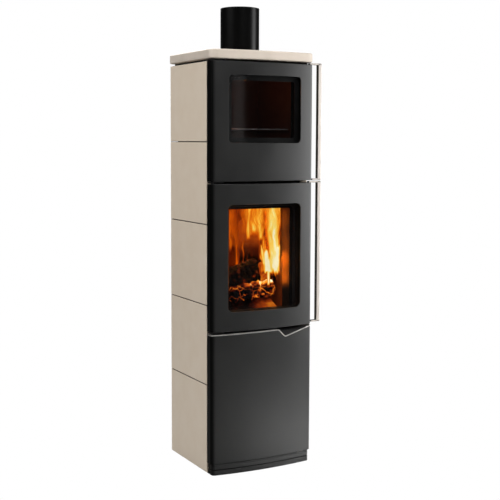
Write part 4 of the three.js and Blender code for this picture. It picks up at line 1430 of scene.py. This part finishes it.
@dataclass
class Fire:
    """The wood burning on the hearth: split logs, embers and flames."""

    seed: int = 7
    half_width: float = 112.0
    bed_y: Span = (-138.0, 62.0)
    bed_foot: float = 599.6
    bed_height: float = 36.0
    flame_z: Span = (690.0, 1008.0)
    logs: tuple[Log, ...] = (
        Log("great_log", (-109, -64, 700), (62, -52, 752), 46.0, CHAR, bite=8.0),
        Log("ember_log", (-104, -117, 666), (100, -112, 688), 28.0, EMBERS, 0.2, 0.85, 0.1, 9.0),
        Log("blazing_billet", (68, -98, 700), (60, -90, 786), 15.0, BLAZING, 0.5, bite=2.0),
        Log("right_log", (74, -112, 718), (112, -82, 724), 17.0, CHAR, 0.1, 0.15),
        Log("rear_log", (100, -20, 690), (-60, 30, 700), 34.0, CHAR, 0.1),
        # Painted firelight that rises towards its top, and painted shade below.
        Log("standing_log", (58, 26, 690), (58, 24, 950), 42.0, FIRELIT_SHADED_CHAR, 0.9, 0.0, -0.44, 2.0, 0.5),
    )
    curtains: tuple[Curtain, ...] = (
        Curtain(
            -134.0,
            (24.0, 115.4),
            13.0,
            0.3,
            (
                Tongue((88, 760), (89, 1060), 27, 30, 1.05, 0.32),
                Tongue((64, 754), (52, 846), 25, 6, 1.32),
                Tongue((98, 752), (108, 870), 24, 14, 1.0),
                Tongue((64, 702), (66, 775), 4, 9, 1.0),
                Tongue((42, 806), (28, 862), 6, 2, 0.8),
                Tongue((46, 776), (30, 852), 11, 3, 0.85),
                Tongue((30, 800), (18, 838), 6, 2, 0.7),
            ),
        ),
        Curtain(
            -72.0,
            (-40.0, 115.4),
            13.0,
            0.3,
            (
                Tongue((8, 880), (14, 1050), 9, 24, 0.62, 0.2),
                Tongue((66, 876), (52, 1050), 10, 28, 0.72, 0.2),
                Tongue((38, 904), (34, 1050), 15, 26, 0.6, 0.2),
                Tongue((84, 790), (74, 880), 6, 3, 0.62),
                Tongue((96, 870), (98, 1050), 16, 20, 0.55),
            ),
        ),
        Curtain(
            -12.0,
            (-60.0, 115.4),
            24.0,
            0.16,
            (
                Tongue((-10, 762), (-11, 866), 2.2, 1.6, 0.62),
                Tongue((44, 890), (40, 1080), 55, 80, 0.36),
                Tongue((-34, 840), (-36, 1090), 36, 50, 0.24),
                Tongue((102, 790), (110, 900), 7, 9, 0.5),
            ),
        ),
    )

    def build(self) -> None:
        """Lays the embers, stacks the logs and lights them."""
        rng = random.Random(self.seed)
        place(self.embers(), "stove", ASH_BED, "firebrick")
        for wood in self.logs:
            place(self.split_log(wood, rng), "stove", wood.finish, "firebrick")
        for number, layer in enumerate(self.curtains):
            look = {"seed": 3.1 + 2.7 * number, "streak": layer.streak, "stir": layer.stir}
            gas = BurningGas(f"burning_gas_{number}", "000000", 1.0, **look)
            place(self.curtain(number, layer), "stove", gas, "firebrick")

    def warm(self, piece: Piece, heat: Callable[[Vector], float]) -> Piece:
        """Stores how hot each point of a piece is.

        Args:
            piece: The object.
            heat: The heat at a point, which is given in millimetres.

        Returns:
            The piece.
        """
        layer = piece.data.attributes.new("burning", "FLOAT", "POINT")
        for value, vertex in zip(layer.data, piece.data.vertices):
            value.value = heat(vertex.co / MM)
        return piece

    def embers(self) -> Piece:
        """A bed of lumps over the hearth, falling off towards its edges."""
        columns, rows = 90, 60
        (low_y, high_y), wide, foot = self.bed_y, self.half_width, self.bed_foot
        side_fall, front_fall, back_fall, least = 14, 44, 26, 2
        lumps = ((22, 0.3, 7.0), (8, 2.3, 2.5))
        shell = Shell()
        lines = []
        for j in range(rows + 1):
            y = low_y + (high_y - low_y) * j / rows
            line = []
            for i in range(columns + 1):
                x = -wide + 2 * wide * i / columns
                edge = min((wide - abs(x)) / side_fall, (y - low_y) / front_fall, (high_y - y) / back_fall)
                lump = sum(noise.noise(Vector((x / size, y / size, w))) * high for size, w, high in lumps)
                line.append((x, y, foot + least + clamp(edge) * (self.bed_height + lump)))
            lines.append(shell.ring(line))
        for a, b in zip(lines, lines[1:]):
            shell.bridge(a, b, closed=False)
        right, left = [line[-1] for line in lines[1:]], [line[0] for line in lines[-2:0:-1]]
        rim = [*lines[0], *right, *lines[-1][-2::-1], *left]
        under = shell.ring([(*shell.points[p][:2], foot) for p in rim])
        shell.bridge(rim, under)
        shell.faces.append(tuple(under))
        made = shell.piece("ember_bed")
        smooth(made, sharp_from=50)
        return self.warm(made, self.ash_heat)

    def ash_heat(self, p: Vector) -> float:
        """The ash glows along its front, most under the flames."""
        dim, bright = 0.12, 0.42
        across = clamp((p.x + 12) / 92) * clamp((116 - p.x) / 12)
        return dim + bright * across * clamp((-84 - p.y) / 24)

    def split_log(self, wood: Log, rng: random.Random) -> Piece:
        """A split and burnt log.

        Args:
            wood: The log's measures.
            rng: The source of its irregularity.

        Returns:
            The object.
        """
        start, end = Vector(wood.start), Vector(wood.end)
        length = (end - start).length
        run = (end - start).normalized()
        side = run.cross(Vector((0.1, 0.2, 1))).normalized()
        up = side.cross(run)
        corners, step, taper_share = 48, 3.5, 0.12
        lobes, lobe_depth = 3, 0.16
        turn = rng.uniform(-0.3, 0.3)
        rings = []
        stations = max(10, int(length / step))
        for i in range(stations + 1):
            t = i / stations
            centre = start.lerp(end, t)
            taper = 1.0 - 0.5 * max(0.0, abs(2 * t - 1) - (1 - taper_share)) / taper_share
            ring = []
            for k in range(corners):
                a = math.tau * k / corners
                out = side * math.cos(a) + up * math.sin(a)
                lobe = math.cos(lobes * math.tau * k / corners + turn)
                split = wood.radius * (1.02 - lobe_depth * lobe)
                point = centre + out * split * taper
                bite = noise.noise(point / 19) * wood.bite + noise.noise(point / 7) * wood.bite * 0.5
                ring.append(tuple(point + out * bite))
            rings.append(ring)
        made = Shell().loft(rings).piece(wood.name)
        smooth(made, sharp_from=55)

        def heat(p: Vector) -> float:
            """Hotter towards the crown of the log."""
            t = clamp((p - start).dot(run) / length)
            crown = clamp(((p.z - start.lerp(end, t).z) / wood.radius - 0.6) / 0.4)
            share = wood.cold_end + (1.0 - wood.cold_end) * t
            return min(wood.most, (wood.heat + wood.crown_heat * crown) * share)

        return self.warm(made, heat)

    def curtain(self, number: int, layer: Curtain) -> Piece:
        """A thin upright curtain, wavy in plan, that carries one layer of flame.

        Args:
            number: Its place from the front.
            layer: Its measures and its tongues.

        Returns:
            The object.
        """
        columns, rows, thick, sway, apart = 44, 70, 0.4, 7.0, 3.7
        (left, right), (bottom, top) = layer.reach, self.flame_z
        rings = []
        for j in range(rows + 1):
            z = bottom + (top - bottom) * j / rows
            near, far = [], []
            for i in range(columns + 1):
                x = left + (right - left) * i / columns
                y = layer.depth + sway * noise.noise(Vector((x / 40, z / 90, number * apart)))
                near.append((x, y, z))
                far.append((x, y + thick, z))
            rings.append(near + far[::-1])
        return self.warm(Shell().loft(rings).piece(f"flame_curtain_{number}"), layer.heat)


# ------------------------------------------------------------------ studio


@dataclass(frozen=True)
class Softbox:
    """One rectangular light: where it hangs, in degrees and metres, its size and its watts."""

    name: str
    azimuth: float
    height: float
    distance: float
    size: Span
    power: float
    spread: float = 180.0
    aim: Point = (0.0, 0.0, 0.9)


@dataclass(frozen=True)
class Glow:
    """A small warm light inside the stove: a point, or an upright strip where it has a length."""

    name: str
    at: Point
    power: float
    colour: str
    length: float = 0.0


@dataclass
class Studio:
    """The floor, the lights and the camera."""

    camera_at: Point = (-1.86595, -3.57986, 1.25612)
    yaw: float = 28.207
    pitch: float = 5.231
    roll: float = 0.196
    lens: float = 73.789
    shift_y: float = -0.03
    floor_half: float = 9000.0
    surround: float = 0.045
    glow_width: float = 0.012
    strip_spread: float = 56.0
    strip_aim: Point = (0.68, 1.0, 0.0)
    softboxes: tuple[Softbox, ...] = (
        Softbox("key_right", 63.0, 1.2, 2.6, (1.1, 2.0), 65.0),
        Softbox("front_high", -5.0, 4.2, 3.4, (2.4, 2.4), 50.0, 100.0),
        Softbox("left_high", -88.0, 3.6, 3.4, (2.8, 2.8), 32.0, 80.0, (0.0, 0.0, 0.7)),
        Softbox("rear_high", 165.0, 4.0, 3.2, (2.4, 2.4), 50.0, 100.0),
        Softbox("floor_pool", 26.0, 0.9, 0.72, (0.5, 0.5), 12.5, 70.0, (0.46, -0.54, 0.0)),
        Softbox("glass_streak", 23.7, 1.47, 2.724, (0.07, 0.42), 0.13, 180.0, (-0.13, -0.2, 1.4)),
    )
    glows: tuple[Glow, ...] = (
        Glow("flame_glow", (0.05, -0.05, 0.93), 2.6, "ff9038"),
        Glow("flame_glow_low", (0.075, -0.128, 0.79), 0.5, "ffb058"),
        Glow("flame_glow_left", (-0.05, -0.05, 0.89), 2.2, "ffa040"),
        Glow("hearth_glow", (0.074, -0.154, 0.634), 0.04, "ffa040"),
        Glow("oven_glow", (-0.02, -0.1, 1.455), 0.34, "ff8a40"),
        Glow("mouth_glow_low", (0.1, -0.188, 0.765), 0.09, "ffb830", 0.12),
        Glow("mouth_glow_high", (0.1, -0.188, 0.9), 0.03, "ffb830", 0.18),
    )

    def build(self) -> None:
        """Sets up everything that isn't the stove."""
        self.floor()
        self.world()
        self.lights()
        self.camera()

    def floor(self) -> None:
        """Rolls out the paper floor."""
        half, shell = self.floor_half, Shell()
        corners = [(-half, -half, 0.0), (half, -half, 0.0), (half, half, 0.0), (-half, half, 0.0)]
        shell.faces.append(tuple(shell.ring(corners)))
        paper = shell.piece("paper_floor")
        paper.data.materials.append(PAPER.material())

    def world(self) -> None:
        """A white surround, dimmer as light than it looks."""
        world = bpy.data.worlds.new("white_surround")
        bpy.context.scene.world = world
        world.use_nodes = True
        tree = world.node_tree
        tree.nodes.clear()
        seen = add(tree, "LightPath")
        strength = add(tree, "MapRange", [seen, 0.0, 1.0, self.surround, 1.0])
        add(tree, "OutputWorld", [add(tree, "Background", [WHITE, strength])])
        bpy.context.scene.view_settings.view_transform = "Standard"

    def hang(self, name: str, kind: str, where: Point, aim: Point | None, **settings: object) -> None:
        """Hangs one lamp.

        Args:
            name: Its name.
            kind: POINT or AREA.
            where: Where it hangs, in metres.
            aim: The direction that it shines in, with its height kept upright.
            **settings: The lamp's own properties.
        """
        lamp = bpy.data.lights.new(name, kind)
        for key, value in settings.items():
            setattr(lamp, key, value)
        made = into_scene(name, lamp)
        made.location = where
        if aim:
            made.rotation_euler = Vector(aim).to_track_quat("-Z", "Y").to_euler()

    def panel(self, size: Span, spread: float) -> dict[str, object]:
        """What a rectangular lamp is set to, with its spread in degrees."""
        spread = math.radians(spread)
        return {"shape": "RECTANGLE", "size": size[0], "size_y": size[1], "spread": spread}

    def lights(self) -> None:
        """Hangs the softboxes and the glow inside the fire chamber."""
        for box in self.softboxes:
            a = math.radians(box.azimuth)
            where = Vector((box.distance * math.sin(a), -box.distance * math.cos(a), box.height))
            panel = self.panel(box.size, box.spread)
            self.hang(box.name, "AREA", where, Vector(box.aim) - where, energy=box.power, **panel)
        for glow in self.glows:
            look = {"energy": glow.power, "color": linear(glow.colour)[:3]}
            if glow.length:
                look.update(self.panel((self.glow_width, glow.length), self.strip_spread))
                self.hang(glow.name, "AREA", glow.at, self.strip_aim, **look)
            else:
                look["shadow_soft_size"] = self.glow_width
                self.hang(glow.name, "POINT", glow.at, None, **look)

    def camera(self) -> None:
        """Sets the camera at the photograph's angle."""
        lens = bpy.data.cameras.new("camera")
        lens.lens = self.lens
        lens.sensor_width = 36.0
        lens.shift_y = self.shift_y
        turn = (
            Matrix.Rotation(math.radians(-self.yaw), 4, "Z")
            @ Matrix.Rotation(math.radians(90 - self.pitch), 4, "X")
            @ Matrix.Rotation(math.radians(self.roll), 4, "Z")
        )
        made = into_scene("camera", lens)
        made.matrix_world = Matrix.Translation(self.camera_at) @ turn
        bpy.context.scene.camera = made


# ------------------------------------------------------------------ the whole


FIRE_DOOR = GlazedDoor(
    prefix="fire_door",
    bottom=546.5,
    top=1097.7,
    window_x=(-150.5, 161.5),
    window_z=(619.0, 1020.5),
    window_radius=20.0,
    mouth_x=147.0,
    mouth_z=(617.0, 1000.0),
)
OVEN_DOOR = GlazedDoor(
    prefix="oven_door",
    bottom=1107.3,
    top=1547.5,
    window_x=(-147.5, 158.5),
    window_z=(1250.0, 1499.0),
    window_radius=15.0,
    mouth_x=148.0,
    mouth_z=(1242.0, 1508.0),
    print_border=19.0,
)
SCREWS = (
    Screws(
        "back_panel_screws", "stove", 160.3, (-175.0, 175.0), (28.0, 330.0, 630.0, 930.0, 1230.0, 1522.0)
    ),
    Screws("inlet_plate_screws", "stove", 162.6, (-52.0, 52.0), (73.0, 177.0), 3.4),
    Screws(
        "fire_door_frame_screws",
        "fire_door",
        -169.3,
        (-199.0, 199.0),
        (610.0, 735.0, 910.0, 1040.0),
        3.6,
        1.8,
    ),
    Screws(
        "oven_door_frame_screws", "oven_door", -169.3, (-199.0, 199.0), (1160.0, 1290.0, 1460.0), 3.6, 1.8
    ),
)


def dress_cad_nodes() -> None:
    """Gives every CAD node that stays the finish of its slot, or its own."""
    slots = {row["node"]: row["material_slot"] for row in frame["record"]["subparts"]}
    for name, node in frame["nodes"].items():
        finish = OWN_FINISHES.get(name, SLOT_FINISHES[slots[name]])
        node.data.materials.clear()
        node.data.materials.append(finish.material())


def main() -> None:
    """Builds the studio and the stove, in order."""
    logging.basicConfig(level=logging.INFO, format="%(message)s")
    Studio().build()
    dress_cad_nodes()
    for part in (Plinth(), LowerDoor(), FIRE_DOOR, OVEN_DOOR, CeramicTop(), FluePipe(), *SCREWS, Fire()):
        part.build()


if __name__ == "__main__":
    main()
